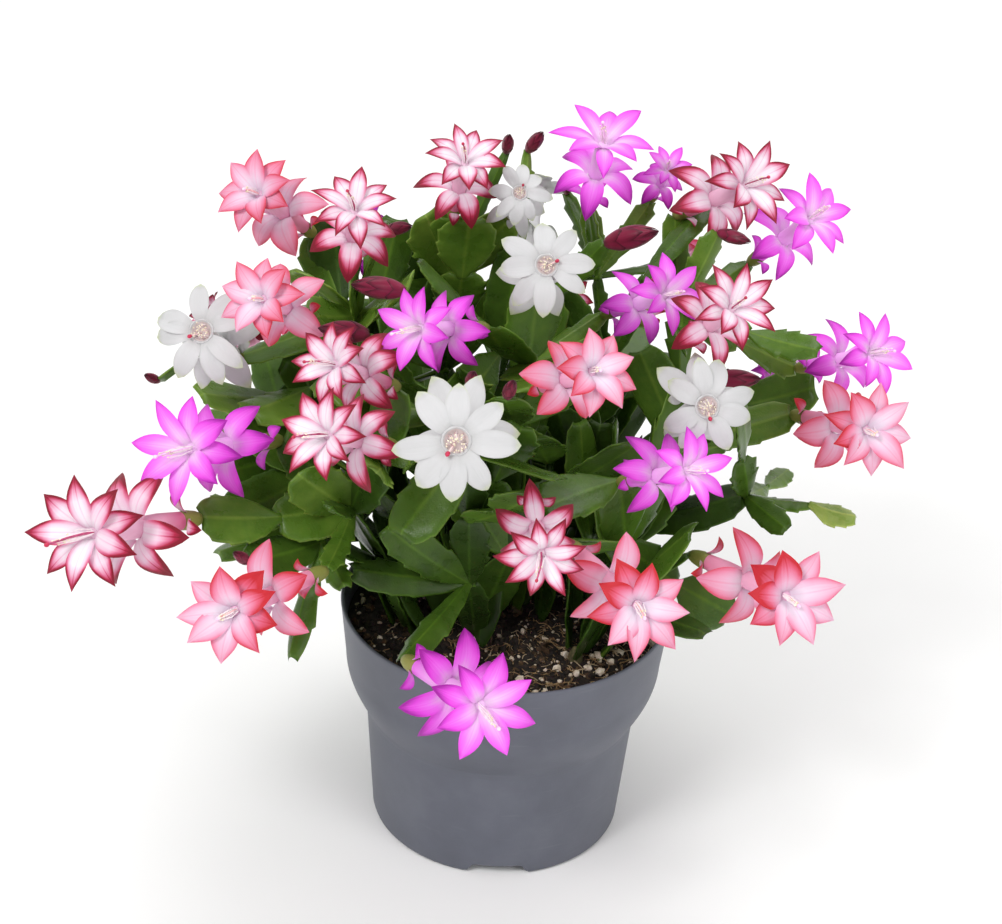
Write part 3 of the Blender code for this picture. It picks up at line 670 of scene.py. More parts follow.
# Shoots that carry no flower: cutting and tip
LEAF_TIPS = [
    ("back_left", (-22, 25, 249)),
    ("back_left", (-39, 35, 246)),
    ("back_right", (23, 60, 244)),
    ("back_right", (46, 40, 222)),
    ("right", (70, 20, 226)),
    ("right", (112, 15, 208)),
    ("right", (130, 0, 148)),
    ("right", (104, -20, 150)),
    ("front_right", (74, -58, 126)),
    ("front_right", (84, -34, 120)),
    ("front_left", (-76, -85, 124)),
    ("front_left", (-58, -76, 150)),
    ("front", (-38, -84, 178)),
    ("left", (-117, -20, 193)),
    ("left", (-86, 6, 234)),
    ("left", (-97, -30, 192)),
    ("middle", (27, -36, 234)),
    ("middle", (-39, 0, 244)),
    ("right", (81, -20, 200)),
    ("front", (2, -62, 212)),
    ("front_right", (66, -48, 164)),
    ("front", (16, -80, 202)),
    ("front_left", (-46, -90, 207)),
    ("left", (-126, 28, 148)),
    ("back_left", (-62, 112, 128)),
    ("back_right", (44, 118, 128)),
    ("right", (112, 62, 128)),
    ("back_left", (-32, 96, 206)),
    ("left", (-86, 82, 138)),
    ("back_right", (86, 98, 190)),
]

print("places:", len(CUTTINGS), "cuttings,", len(FLOWERS), "flowers,", len(BUDS), "buds")

# %% [markdown]
# ### Growing the shoots
# A shoot tries several bows and twists and keeps the one with the best clearance. Flowers and buds
# stand in the garden first, so the shoots grow round them. Points are spread over each blade, and a
# KD tree finds the nearest neighbours quickly.

# %% Segments of a shoot
def ring(radius, height, count):
    """Points on a level circle."""
    return [Vector((radius * math.cos(math.tau * i / count), radius * math.sin(math.tau * i / count), height))
            for i in range(count)]


def flower_seat(spot, compass, rise, size):
    """The foot of a flower's tube, from the middle of its rosette."""
    return Vector(spot) - direction(compass, rise) * FLOWER_LENGTH * size


SAMPLE_HALVES = (0.1, 0.3, 0.42, 0.48, 0.5, 0.48, 0.3)  # half widths along a blade, as shares of its width


class Segment:
    """One flat stem segment between two joints; across is its width direction."""

    def __init__(self, start, end, across, width):
        self.start, self.end, self.across, self.width = start, end, across, width

    def samples(self):
        """Points spread over the blade, for measuring clearances."""
        spread = []
        for step, share in enumerate(SAMPLE_HALVES):
            along = self.start.lerp(self.end, step / (len(SAMPLE_HALVES) - 1))
            half = self.width * share
            spread += [along + self.across * half * side for side in (-1.0, -0.5, 0.0, 0.5, 1.0)]
        return spread


def width_direction(start, end, twist):
    """Level and tangential to the plant, square to the segment, then turned by twist degrees."""
    along = (end - start).normalized()
    middle = (start + end) / 2
    outward = Vector((middle.x, middle.y, 0.0))
    across = UP.cross(outward)
    across -= along * across.dot(along)
    if across.length < 0.3 * max(outward.length, 1.0):
        across = along.cross(UP)
    across.normalize()
    return Matrix.Rotation(math.radians(twist), 3, along) @ across


def blade_width(joint):
    """Width of the segment that ends at a joint; it varies a little over the plant."""
    return SEGMENT_WIDTH + WIDTH_SPREAD * math.sin(0.7 * (joint.x + joint.y + joint.z))


def shoot_segments(start, end, lift, side, twist):
    """Segments from start to end along a shallow bow; lift and side are shares of its length."""
    span = end - start
    count = max(1, round(span.length / SEGMENT_LENGTH))
    sideways = UP.cross(span).normalized() if span.xy.length > 1.0 else Vector((1.0, 0.0, 0.0))
    bow = (UP * lift + sideways * side) * span.length
    joints = []
    for step in range(count + 1):
        part = step / count
        joints.append(start + span * part + bow * 4.0 * part * (1.0 - part))
    return [Segment(a, b, width_direction(a, b, twist), blade_width(b)) for a, b in zip(joints, joints[1:])]


print("points on a blade:", 5 * len(SAMPLE_HALVES))

# %% Garden
FORK_ROOM, TIP_ROOM = 16.0, 9.0  # near these two a shoot may come close to its own cutting or flower
NEIGHBOURS = 8


def flower_samples(spot, compass, rise, size):
    """Points over a flower's tube, whorl and rosette."""
    heading = direction(compass, rise) * size
    seat = flower_seat(spot, compass, rise, size)
    turn = heading.to_track_quat("Z", "Y")
    spread = [seat + heading * step for step in (6, 14, 22, 30, 38, 46, 54)]
    for reach, height in ((8, LOWER_WHORL), (14, LOWER_WHORL - 4), (20, LOWER_WHORL - 6),
                          (8, FLOWER_LENGTH), (14, FLOWER_LENGTH + 1), (20, FLOWER_LENGTH - 3)):
        spread += [seat + turn @ (point + UP * height) * size for point in ring(reach, 0.0, 12)]
    return spread


def bud_samples(seat, compass, rise, length):
    """Points round a bud and at its tip."""
    heading = direction(compass, rise)
    turn = heading.to_track_quat("Z", "Y")
    spread = [Vector(seat) + heading * length]
    for part in (0.25, 0.5, 0.78):
        spread += [Vector(seat) + turn @ point * length for point in ring(0.2, part, 6)]
    return spread


class Garden:
    """Everything placed so far, as points with their owner, for measuring clearances."""

    def __init__(self):
        self.spots = []
        self.tree = None

    def add(self, points, owner):
        self.spots += [(point, owner) for point in points]
        self.tree = KDTree(len(self.spots))
        for index, (point, _) in enumerate(self.spots):
            self.tree.insert(point, index)
        self.tree.balance()

    def clearance(self, segments, owner, start, end):
        """Least distance to anything but the fork that a shoot grows from and the flower at its tip."""
        least = 2.0 * CLEARANCE
        for segment in segments:
            for point in segment.samples():
                near_fork = (point - start).length < FORK_ROOM
                near_tip = (point - end).length < TIP_ROOM
                for _, index, distance in self.tree.find_n(point, NEIGHBOURS):
                    other = self.spots[index][1]
                    if other == owner and (near_fork or distance > 0.6 * CLEARANCE):
                        continue
                    if other == "bloom" and near_tip:
                        continue
                    least = min(least, distance)
        return least


def garden_of_flowers():
    """A garden in which every flower and bud stands already."""
    garden = Garden()
    for _, _, *flower in FLOWERS:
        garden.add(flower_samples(*flower), "bloom")
    for _, *bud in BUDS:
        garden.add(bud_samples(*bud), "bloom")
    return garden


print("points of a flower:", len(flower_samples(*FLOWERS[0][2:])))

# %% First growth
BOWS = ((0.12, 0.0), (0.0, 0.0), (0.12, 0.15), (0.12, -0.15), (0.25, 0.0), (-0.1, 0.0), (0.2, 0.25),
        (0.2, -0.25), (0.0, 0.3), (0.0, -0.3), (0.3, 0.15), (0.3, -0.15), (-0.15, 0.2), (-0.15, -0.2))
TWISTS = (0.0, 25.0, -25.0, 50.0, -50.0, 75.0, -75.0, 90.0)
FORKS_TRIED, LEAST_REACH = 6, 0.65  # joints tried for a shoot; its least length in segments
LACK_COST, FORK_COST, BOW_COST, TWIST_COST = 6.0, 1.2, 0.5, 0.4
TRUNK_TWIST = 15.0


def grow_shoot(garden, owner, joints, end):
    """The shoot that reaches its end with the best clearance, from the nearest joint that allows it."""
    forks = sorted(joints, key=lambda joint: (end - joint).length)
    forks = [joint for joint in forks if (end - joint).length > LEAST_REACH * SEGMENT_LENGTH][:FORKS_TRIED]
    best, best_cost = None, math.inf
    for rank, fork in enumerate(forks):
        for bend, (lift, side) in enumerate(BOWS):
            for turn, twist in enumerate(TWISTS):
                segments = shoot_segments(fork, end, lift, side, twist)
                lack = CLEARANCE - garden.clearance(segments, owner, fork, end)
                cost = LACK_COST * max(lack, 0.0) + FORK_COST * rank + BOW_COST * bend + TWIST_COST * turn
                if cost < best_cost:
                    best, best_cost = segments, cost
    return best


def grow_plant():
    """All segments of each cutting, as a dictionary of lists."""
    garden = garden_of_flowers()
    grown, forks = {}, {}
    for name, (foot, *stem) in CUTTINGS.items():
        joints = [Vector((*foot, STEM_START)), *map(Vector, stem)]
        grown[name] = [Segment(a, b, width_direction(a, b, TRUNK_TWIST), STEM_WIDTH)
                       for a, b in zip(joints, joints[1:])]
        forks[name] = joints[1:]
        for segment in grown[name]:
            garden.add(segment.samples(), name)
    ends = [(name, flower_seat(*flower)) for _, name, *flower in FLOWERS]
    ends += [(name, Vector(seat)) for name, seat, *_ in BUDS]
    ends += [(name, Vector(tip)) for name, tip in LEAF_TIPS]
    for name, end in ends:
        shoot = grow_shoot(garden, name, forks[name], end)
        grown[name] += shoot
        forks[name] += [segment.end for segment in shoot[:-1]]
        garden.add([point for segment in shoot for point in segment.samples()], name)
    return grown


grown = grow_plant()
print("first growth:", {name: len(segments) for name, segments in grown.items()})

# %% [markdown]
# ### Filling the plant
# A real plant is denser than the first growth. Some more segments are given in a list, short ones come
# up beside each cutting, and then each joint with room may put out one more, in three rounds. They
# stay in a dome under the flowers and keep out of the places where the plant is open.

# %% Limits of the second growth
DOME_CENTRE, DOME_RADII = Vector((0.0, 8.0, 140.0)), (122.0, 118.0, 112.0)
LOWEST, LOWEST_AT_RIM = 88.0, 104.0  # over the mix and over the pot's rim
RIM_FROM = 52.0  # the rim's rule holds this far from the axis and beyond
RIGHT_END, RIGHT_END_FRONT = 106.0, 84.0  # furthest to the right, at the back and at the front
TOP_LEFT, TOP_MIDDLE, TOP_BACK_RIGHT = 225.0, 205.0, 175.0
OPEN_FRONT = -32.0  # in front of this the mix and the pot stay in sight,
OPEN_WIDTHS = ((45.0, 180.0), (75.0, 152.0))  # as wide as this each way, up to this height
OPEN_RIGHT, OPEN_RIGHT_BACK, OPEN_RIGHT_TOP = 70.0, 50.0, 158.0
SHIELD_ANGLE, SHIELD_DEPTH = 0.19, 12.0  # each flower's free cone, in radians, and how deep it goes


def top_of_growth(point):
    """The shoots stand free at the back right and are thickest at the left."""
    if point.x > 12.0 and point.y > -5.0:
        return TOP_BACK_RIGHT
    return TOP_LEFT if point.x < -45.0 else TOP_MIDDLE


def in_dome(point):
    """True inside the dome of leaves, clear of the mix, the pot's rim and the open right side."""
    out = point - DOME_CENTRE
    share = Vector((out.x / DOME_RADII[0], out.y / DOME_RADII[1], out.z / DOME_RADII[2]))
    if share.length > 1.0 or point.z < LOWEST or (point.z < LOWEST_AT_RIM and point.xy.length > RIM_FROM):
        return False
    return point.x <= (RIGHT_END if point.y > 10.0 else RIGHT_END_FRONT) and point.z <= top_of_growth(point)


def in_opening(point):
    """True where the plant stays open: before the mix and low at the right."""
    if point.y < OPEN_FRONT and any(abs(point.x) < half and point.z < top for half, top in OPEN_WIDTHS):
        return True
    return point.x > OPEN_RIGHT and point.y < OPEN_RIGHT_BACK and point.z < OPEN_RIGHT_TOP


def under_flowers(blade, shields):
    """True if all of a blade is in the dome and hides no flower."""
    for point in blade.samples():
        if not in_dome(point) or in_opening(point):
            return False
        out = point - DOME_CENTRE
        for shield in shields:
            reach = shield - DOME_CENTRE
            if out.angle(reach) < SHIELD_ANGLE and out.length > reach.length - SHIELD_DEPTH:
                return False
    return True


print("dome of leaves:", [2 * radius for radius in DOME_RADII], "mm")

# %% Second growth
PLACED_SHOOTS = [  # cutting, joint it grows from, tip
    ("left", (-60, 24, 168), (-56, 34, 205)),
    ("left", (-56, 34, 205), (-50, 46, 238)),
    ("left", (-70, 33, 208), (-74, 44, 238)),
    ("back_left", (-49, 72, 185), (-38, 64, 226)),
    ("right", (85, 69, 151), (119, 64, 166)),
    ("right", (64, 16, 162), (46, 30, 196)),
    ("back_right", (34, 57, 167), (14, 62, 203)),
    ("back_right", (46, 40, 222), (70, 70, 240)),
]
FRONT_SHOOTS = [
    ("front", (-14, -32, 126), (-45, -50, 160)),
    ("front", (-14, -32, 126), (-57, -50, 140)),
]
FRONT_WIDTH = 18.0
SOIL_LEVEL = 89.0  # where basal shoots and the first blade of each cutting start
BASAL_SHOOTS, BASAL_CLEARANCE = 4, 0.8  # short ones beside each cutting
ROUNDS, TRIES, ROOM_NEEDED = 3, 12, 2.6
FLOWER_NEAR, FLOWER_SKIP = 26.0, 0.5  # joints this near a flower sprout less often
NEW_LENGTH = (34.0, 46.0)


def place_shoots(shoots, width, grown, garden):
    """Add segments whose joint and tip are listed."""
    for name, start, end in shoots:
        start, end = Vector(start), Vector(end)
        add_blade(Segment(start, end, width_direction(start, end, 0.0), width), name, grown, garden)
    return len(shoots)


def add_blade(blade, name, grown, garden):
    grown[name].append(blade)
    garden.add(blade.samples(), name)


def best_of(tries, name, garden, shields):
    """The room that the best try has, and that try; only those under the flowers count."""
    tries = [blade for blade in tries if under_flowers(blade, shields)]
    scored = [(garden.clearance([blade], name, blade.start, blade.start), blade) for blade in tries]
    return max(scored, key=lambda pair: pair[0], default=(0.0, None))


def fresh_segment(joint, parent, rng):
    """A segment from a joint, leaning outwards, upwards and along its parent."""
    outward = Vector((joint.x, joint.y - 10.0, 0.0)) / 110.0
    wild = Vector((rng.gauss(0, 1), rng.gauss(0, 1), rng.gauss(0, 1)))
    heading = (outward + UP * 0.25 + (parent.end - parent.start).normalized() * 0.8 + wild * 0.65).normalized()
    end = joint + heading * rng.uniform(*NEW_LENGTH)
    return Segment(joint, end, width_direction(joint, end, rng.uniform(-55.0, 55.0)), blade_width(end))


def basal_segment(foot, rng):
    """A short broad segment that comes up beside a cutting."""
    start = foot + direction(rng.uniform(0.0, 360.0), 0.0) * rng.uniform(5.0, 13.0)
    lean = Vector((start.x, start.y + 25.0, 0.0)) / 160.0 + Vector((rng.gauss(0, 0.3), rng.gauss(0, 0.2), 0.0))
    end = start + (UP + lean).normalized() * rng.uniform(*NEW_LENGTH)
    return Segment(start, end, width_direction(start, end, rng.uniform(-80.0, 80.0)), blade_width(end))


def grow_more(grown):
    """Second growth: placed segments, basal ones, and one more from each joint with room, round by round."""
    rng = random.Random(77)
    garden = garden_of_flowers()
    shields = [Vector(flower[2]) for flower in FLOWERS]
    for name, segments in grown.items():
        garden.add([point for segment in segments for point in segment.samples()], name)
    added = place_shoots(PLACED_SHOOTS, SEGMENT_WIDTH, grown, garden)
    for name, (foot, *_) in CUTTINGS.items():
        for _ in range(BASAL_SHOOTS):
            tries = [basal_segment(Vector((*foot, SOIL_LEVEL)), rng) for _ in range(TRIES)]
            room, best = best_of(tries, name, garden, shields)
            if room > BASAL_CLEARANCE:
                add_blade(best, name, grown, garden)
                added += 1
    for _ in range(ROUNDS):
        for name, segments in grown.items():
            for parent in list(segments):
                joint = parent.end
                near_flower = any((joint - shield).length < FLOWER_NEAR for shield in shields)
                if near_flower and rng.random() < FLOWER_SKIP:
                    continue
                tries = [fresh_segment(joint, parent, rng) for _ in range(TRIES)]
                room, best = best_of(tries, name, garden, shields)
                if room > ROOM_NEEDED:
                    add_blade(best, name, grown, garden)
                    added += 1
    return added + place_shoots(FRONT_SHOOTS, FRONT_WIDTH, grown, garden)


print("second growth:", grow_more(grown), "more segments")

# %% [markdown]
# ## Stem segments
# The green "leaves" are flat stems. Each starts at a narrow neck, widens to two thirds of its length
# and ends cut off square, with two or three forward-pointing teeth on each side. It is a few
# millimetres thick at the midrib and thin at the edge, bends along its length and waves a little at
# its rim. A grid of 29 rows by 11 columns holds all of that; the teeth are rows pulled outwards.

# %% Segment shape
SEGMENT_ROWS = 28
COLUMNS = (-1.0, -0.93, -0.72, -0.42, -0.14, 0.0, 0.14, 0.42, 0.72, 0.93, 1.0)
BLADE_OUTLINE = [(-0.06, 0.11), (0.02, 0.13), (0.10, 0.22), (0.22, 0.36), (0.38, 0.46), (0.56, 0.5),
                 (0.72, 0.5), (0.85, 0.455), (0.94, 0.36), (1.0, 0.23)]
OVERLAP = 0.06  # the neck starts this share of the length before the joint
RIB_HALF, BLADE_HALF, NECK_HALF = 1.35, 0.95, 1.5  # half thicknesses
RIB_REACH = 0.16  # width of the midrib, as a share of the blade's half width
FIRST_TOOTH, TOOTH_GAP, LAST_TOOTH = (11, 17), (5, 7), 20  # rows
TOOTH_SIZE, TOOTH_BITE, SMOOTH_ROWS = (0.4, 1.5), 0.35, 8


def teeth(rng):
    """The rows of the teeth on one side of a segment."""
    rows = [rng.randint(*FIRST_TOOTH)]
    while rows[-1] < LAST_TOOTH:
        rows.append(rows[-1] + rng.randint(*TOOTH_GAP))
    return rows


def tooth_swell(row, rows):
    """0 between teeth, rising to 1 at the point of the next one."""
    before = max([place for place in rows if place < row] or [rows[0] - TOOTH_GAP[0]])
    after = min([place for place in rows if place >= row] or [0])
    if after == 0 or row < before:
        return 0.0
    return ((row - before) / (after - before)) ** 2


def add_segment(surface, segment, rng, tone, finish):
    """One detailed blade along a segment."""
    span = segment.end - segment.start
    length = span.length
    normal = segment.across.cross(span.normalized())
    sides = {-1: teeth(rng), 1: teeth(rng)}
    point_out = {-1: rng.uniform(*TOOTH_SIZE), 1: rng.uniform(*TOOTH_SIZE)}
    bow = rng.uniform(-0.02, 0.05) * length
    cup = rng.uniform(-0.8, 1.8)
    wave, phase = rng.uniform(0.2, 0.9), rng.uniform(0.0, math.tau)
    grid = []
    for row in range(SEGMENT_ROWS + 1):
        part = -OVERLAP + (1.0 + OVERLAP) * row / SEGMENT_ROWS
        plain = smooth_curve(BLADE_OUTLINE, part) * segment.width
        line = []
        for aside in COLUMNS:
            side = 1 if aside > 0 else -1
            edge = abs(aside)
            swell = tooth_swell(row, sides[side]) * point_out[side] - TOOTH_BITE * point_out[side]
            reach = plain + (swell if SMOOTH_ROWS < row < SEGMENT_ROWS else 0.0)
            ahead = max(swell, 0.0) * 0.9 * edge ** 6 + 0.025 * length * edge ** 2 * ease(0.75, 1.0, part)
            lift = bow * math.sin(math.pi * max(part, 0.0)) + cup * edge ** 2 * ease(0.0, 0.5, part)
            lift += wave * math.sin(7.0 * part + phase + side) * edge ** 3 * ease(0.1, 0.5, part)
            point = (segment.start + span * part + span.normalized() * ahead
                     + segment.across * aside * reach + normal * lift)
            flat = ease(0.0, 0.2, part)
            rib = (RIB_HALF - BLADE_HALF) * math.exp(-(aside / RIB_REACH) ** 2)
            half = NECK_HALF + (BLADE_HALF + rib - NECK_HALF) * flat
            half *= (1.0 - edge ** 2.6) ** 0.5 if edge < 1.0 else 0.0
            line.append((point, normal * half, ((aside + 1) / 2, part)))
        grid.append(line)
    surface.add_sheet(grid, finish, tone)


print("rows of teeth, for example:", teeth(random.Random(1)))

# %% [markdown]
# ### Waxy green skin
# The skin of a forest cactus is smooth and waxed: fairly glossy, with soft white highlights. New
# segments are yellow-green and old ones near the soil dark olive. The midrib and the thin rim are
# paler, and a mottling of 11 mm and pores of 0.6 mm keep the gloss from looking like plastic. A noise
# scale is a count to the metre, so these are 90 and 1600.

# %% Skin material
def skin_material(name, stops, roughness):
    """Waxed skin. stops are its colours from deep to pale."""
    made, tree = new_material(name)
    chart = add_node(tree, "UVMap", {"uv_map": "sheet"})
    split = add_node(tree, "SeparateXYZ", inputs={0: chart.outputs[0]})
    doubled = add_node(tree, "Math", {"operation": "MULTIPLY_ADD"},
                       {0: split.outputs["X"], 1: 2.0, 2: -1.0})
    edge = add_node(tree, "Math", {"operation": "ABSOLUTE"}, {0: doubled.outputs[0]}).outputs[0]
    rib = add_node(tree, "ValToRGB", inputs={"Fac": edge},
                   stops=[(0.0, 0.16), (0.05, 0.10), (0.12, 0.0), (0.90, 0.0), (0.97, 0.14), (1.0, 0.22)])
    tone = add_node(tree, "Attribute", {"attribute_name": "tone"}).outputs["Fac"]
    place = add_node(tree, "TexCoord").outputs["Object"]
    mottle = add_node(tree, "TexNoise", inputs={
        "Vector": place, "Scale": 90.0, "Detail": 4.0, "Roughness": 0.55})
    fine = add_node(tree, "TexNoise", inputs={"Vector": place, "Scale": 1600.0, "Detail": 2.0})
    clouded = add_node(tree, "Math", {"operation": "MULTIPLY_ADD"},
                       {0: mottle.outputs["Fac"], 1: 0.5, 2: -0.25})
    depth = add_node(tree, "Math", {"operation": "ADD"}, {0: tone, 1: clouded.outputs[0]})
    total = add_node(tree, "Math", {"operation": "ADD"}, {0: depth.outputs[0], 1: rib.outputs[0]})
    colour = add_node(tree, "ValToRGB", inputs={"Fac": total.outputs[0]}, stops=stops)
    wax = add_node(tree, "MapRange", inputs={
        "Value": mottle.outputs["Fac"], 1: 0.3, 2: 0.7, 3: roughness - 0.08, 4: roughness + 0.1})
    grain = add_node(tree, "Math", {"operation": "MULTIPLY_ADD"},
                     {0: mottle.outputs["Fac"], 1: 4.0, 2: fine.outputs["Fac"]})
    bump = add_node(tree, "Bump", inputs={"Height": grain.outputs[0], "Strength": 0.3, "Distance": 0.0003})
    shader = add_node(tree, "BsdfPrincipled", inputs={
        "Base Color": colour.outputs[0], "Roughness": wax.outputs[0], "Normal": bump.outputs[0], "IOR": 1.46,
        "Specular IOR Level": 0.28})
    add_node(tree, "OutputMaterial", inputs={"Surface": shader.outputs[0]})
    return made


GREENS = [(0.0, "#1C2C0F"), (0.3, "#354F18"), (0.55, "#4F7021"), (0.8, "#738F35"), (1.0, "#A4B45E")]
stem_skin = skin_material("cactus_skin_waxy", GREENS, 0.3)
cork = crumb_material("cork_on_old_stem", "#33301C", "#575030", "#85794F", 0.75, 0.8)
print("stem finishes:", stem_skin.name, cork.name)

# %% [markdown]
# ### Age, light and width
# No two segments are alike. The tone rises from the soil to the tips, some outer blades have turned
# their flat side to the light, and shoots that raced up stayed narrow. Simple rules with a little
# seeded chance give each blade its own look without drawing it by hand.

# %% Age and light
JOINT_MEETS = 0.1  # joints nearer than this are the same
YOUNG_TIP = Vector((130.0, 0.0, 148.0))
YOUNG_SPLIT, YOUNG_FOOT_WIDTH, YOUNG_TIP_WIDTH = 0.62, 9.0, 15.0
LONGEST, JOINT_SAG = 52.0, 2.0
FRONT_LIGHT = Vector((0.0, -0.79, 0.61))
BLADES_TO_LIGHT = (  # middle of the blades, and how far from it they may be
    (-84, -55, 166, 30), (-30, 30, 225, 30), (-10, 30, 225, 30), (-52, 50, 212, 30), (86, 35, 200, 30),
    (88, 25, 166, 30), (104, 66, 158, 30), (55, 23, 179, 30), (-94, 33, 166, 30), (-30, -41, 143, 5),
    (-36, -41, 133, 4), (-12, -22, 108, 8))


def generation(segments):
    """How many segments lie between each segment and the soil."""
    ages = []
    for segment in segments:
        parents = [ages[i] for i, other in enumerate(segments[:len(ages)])
                   if (other.end - segment.start).length < JOINT_MEETS]
        ages.append(parents[0] + 1 if parents else 0)
    return ages


def halved(segment):
    """A very long segment is two in a row, and the youngest one has a thin foot and a broad tip."""
    if (segment.end - YOUNG_TIP).length < 3.0:
        middle = segment.start.lerp(segment.end, YOUNG_SPLIT)
        tip = segment.end + (segment.end - middle) * 0.15 - UP * 3.0
        return [Segment(segment.start, middle, segment.across, YOUNG_FOOT_WIDTH),
                Segment(middle, tip, segment.across, YOUNG_TIP_WIDTH)]
    if (segment.end - segment.start).length < LONGEST:
        return [segment]
    middle = (segment.start + segment.end) / 2 - UP * JOINT_SAG
    return [Segment(segment.start, middle, segment.across, segment.width),
            Segment(middle, segment.end, segment.across, segment.width)]


def faced(blades):
    """Some outer blades have turned their flat side to the light."""
    for blade in blades:
        middle = (blade.start + blade.end) / 2
        if any((middle - Vector(spot)).length < reach for *spot, reach in BLADES_TO_LIGHT):
            along = (blade.end - blade.start).normalized()
            across = along.cross(FRONT_LIGHT).normalized()
            side = 1.0 if across.dot(blade.across) > 0.0 else -1.0
            blade.across = (across * side * 2.0 + blade.across).normalized()
            blade.across = (blade.across - along * blade.across.dot(along)).normalized()
    return blades


print("segments in a row:", {name: max(generation(segments)) + 1 for name, segments in grown.items()})

# %% Width of each blade
FIXED_WIDTH = 15.5  # blades narrower than this were drawn as narrow as they are
STALK_FROM = Vector((0.0, 38.0, 238.0))  # bud stalks stand behind and above this
RACED_FROM, RACED_MIDDLE = Vector((12.0, -5.0, 185.0)), 45.0
STALK_SHARE, THIN_SHARE, RACED_SHARE, RACED_OUTER, FULL_SHARE = (
    (0.24, 0.3), (0.4, 0.5), (0.28, 0.4), (0.42, 0.58), (0.72, 0.94))
SLENDER = (  # middle of the thin blades, and how far from it they may be
    (-25, -53, 122, 10), (103, -1, 148, 14), (88, 1, 160, 6), (83, -13, 186, 6), (96, 21, 142, 6),
    (107, 48, 132, 6), (-72, -67, 137, 6), (-5, 53, 235, 14), (-61, -61, 160, 5), (-63, -63, 150, 5),
    (-61, -58, 172, 5))


def slimness(blade, rng):
    """Share of the full width. Shoots that raced up at the back stayed narrow, bud stalks more so."""
    middle = (blade.start + blade.end) / 2
    if blade.width < FIXED_WIDTH:
        return 1.0
    if middle.z > STALK_FROM.z and middle.y > STALK_FROM.y:
        return rng.uniform(*STALK_SHARE)
    if any((middle - Vector(spot)).length < reach for *spot, reach in SLENDER):
        return rng.uniform(*THIN_SHARE)
    if middle.x > RACED_FROM.x and middle.y > RACED_FROM.y and middle.z > RACED_FROM.z:
        return rng.uniform(*(RACED_SHARE if middle.x < RACED_MIDDLE else RACED_OUTER))
    return rng.uniform(*FULL_SHARE)


print("thin places:", len(SLENDER))

# %% [markdown]
# ### Putting the cuttings together
# A cutting is one piece: a corky neck that stands in the mix, and a blade for every segment. The
# blades overlap a little at the joints, as they do on the real plant, so no seam shows.

# %% Cuttings
NECK_HEIGHTS, NECK_RADII = (84.0, 88.0, 91.5), (3.4, 3.2, 2.9, 1.2)
SOIL_TONE, AGE_TONE, TIP_TONE, YOUNG_TONE = 0.2, 0.075, 0.1, 0.4
TONE_CHANCE, TONE_LIMITS = (-0.12, 0.16), (0.08, 0.85)
YOUNG_REACH = 12.0


def build_cutting(name, segments, seed):
    """The piece for one cutting, with its neck and all its blades."""
    rng = random.Random(seed)
    surface = Surface()
    foot = Vector((*CUTTINGS[name][0], 0.0))
    neck = [foot + UP * height for height in NECK_HEIGHTS] + [segments[0].start]
    surface.add_tube(neck, NECK_RADII, 12, cork, 0.4)
    ages = generation(segments)
    trunk = segments[0]
    segments = [Segment(foot + UP * SOIL_LEVEL, trunk.end, trunk.across, trunk.width), *segments[1:]]
    for segment, age in zip(segments, ages):
        tip = not any((other.start - segment.end).length < JOINT_MEETS for other in segments)
        tone = SOIL_TONE + AGE_TONE * age + TIP_TONE * tip + rng.uniform(*TONE_CHANCE)
        tone = min(max(tone, TONE_LIMITS[0]), TONE_LIMITS[1])
        for blade in faced(halved(segment)):
            blade.width *= slimness(blade, rng)
            young = YOUNG_TONE if (blade.end - YOUNG_TIP).length < YOUNG_REACH else 0.0
            add_segment(surface, blade, rng, tone + young, stem_skin)
    return make_piece("shoots_" + name, surface, ["cutting_" + name], sharp=180.0)


for seed, (short_name, segments) in enumerate(grown.items()):
    piece = build_cutting(short_name, segments, 100 + seed)
    name = "cutting_" + short_name
    low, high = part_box(name)
    spots = [vertex.co for vertex in piece.data.vertices]
    past = max(max(low[i] - min(spot[i] for spot in spots), max(spot[i] for spot in spots) - high[i])
               for i in range(3))
    print(piece.name, len(piece.data.polygons), "faces, at most", round(past / MM, 1), "mm past the plain box")

# %% [markdown]
# ## Flowers
# A flower has a tube with a rosette of eight or nine petals at its mouth and a whorl of five or six
# wider ones bent back behind it, so that it looks like two stars, one over the other. Small scales
# stand at the foot of the tube. A bunch of stamens and a longer style stand out of the mouth, along the
# tube. Each petal is a thin sheet that follows a Bezier curve outwards, broad at its foot and drawn
# out to a point. The rosette is turned on the tube towards the light, as on a real plant, and the
# petals on the side of the tube are shorter, bent back and deeper in colour.

# %% Petal shape
PETAL_ROWS = 12
PETAL_COLUMNS = (-1.0, -0.7, -0.35, 0.0, 0.35, 0.7, 1.0)
PETAL_THICK, RIM_THICK, CREASE_REACH = 0.28, 0.05, 0.22
OUTLINES = {  # share of the length, share of the half width
    "crimson": [(0.0, 0.50), (0.15, 0.68), (0.34, 0.93), (0.5, 1.0), (0.64, 0.90), (0.78, 0.62), (0.9, 0.27),
                (1.0, 0.0)],
    "magenta": [(0.0, 0.48), (0.2, 0.74), (0.4, 0.95), (0.54, 1.0), (0.7, 0.84), (0.86, 0.46), (1.0, 0.0)],
    "salmon": [(0.0, 0.48), (0.2, 0.78), (0.38, 0.97), (0.5, 1.0), (0.66, 0.84), (0.81, 0.5), (0.92, 0.2),
               (1.0, 0.0)],
    "white": [(0.0, 0.52), (0.2, 0.8), (0.38, 0.96), (0.54, 1.0), (0.7, 0.91), (0.85, 0.64), (0.95, 0.33),
              (1.0, 0.0)],
    "broad": [(0.0, 0.55), (0.2, 0.78), (0.4, 0.96), (0.56, 1.0), (0.72, 0.88), (0.88, 0.52), (1.0, 0.0)],
}


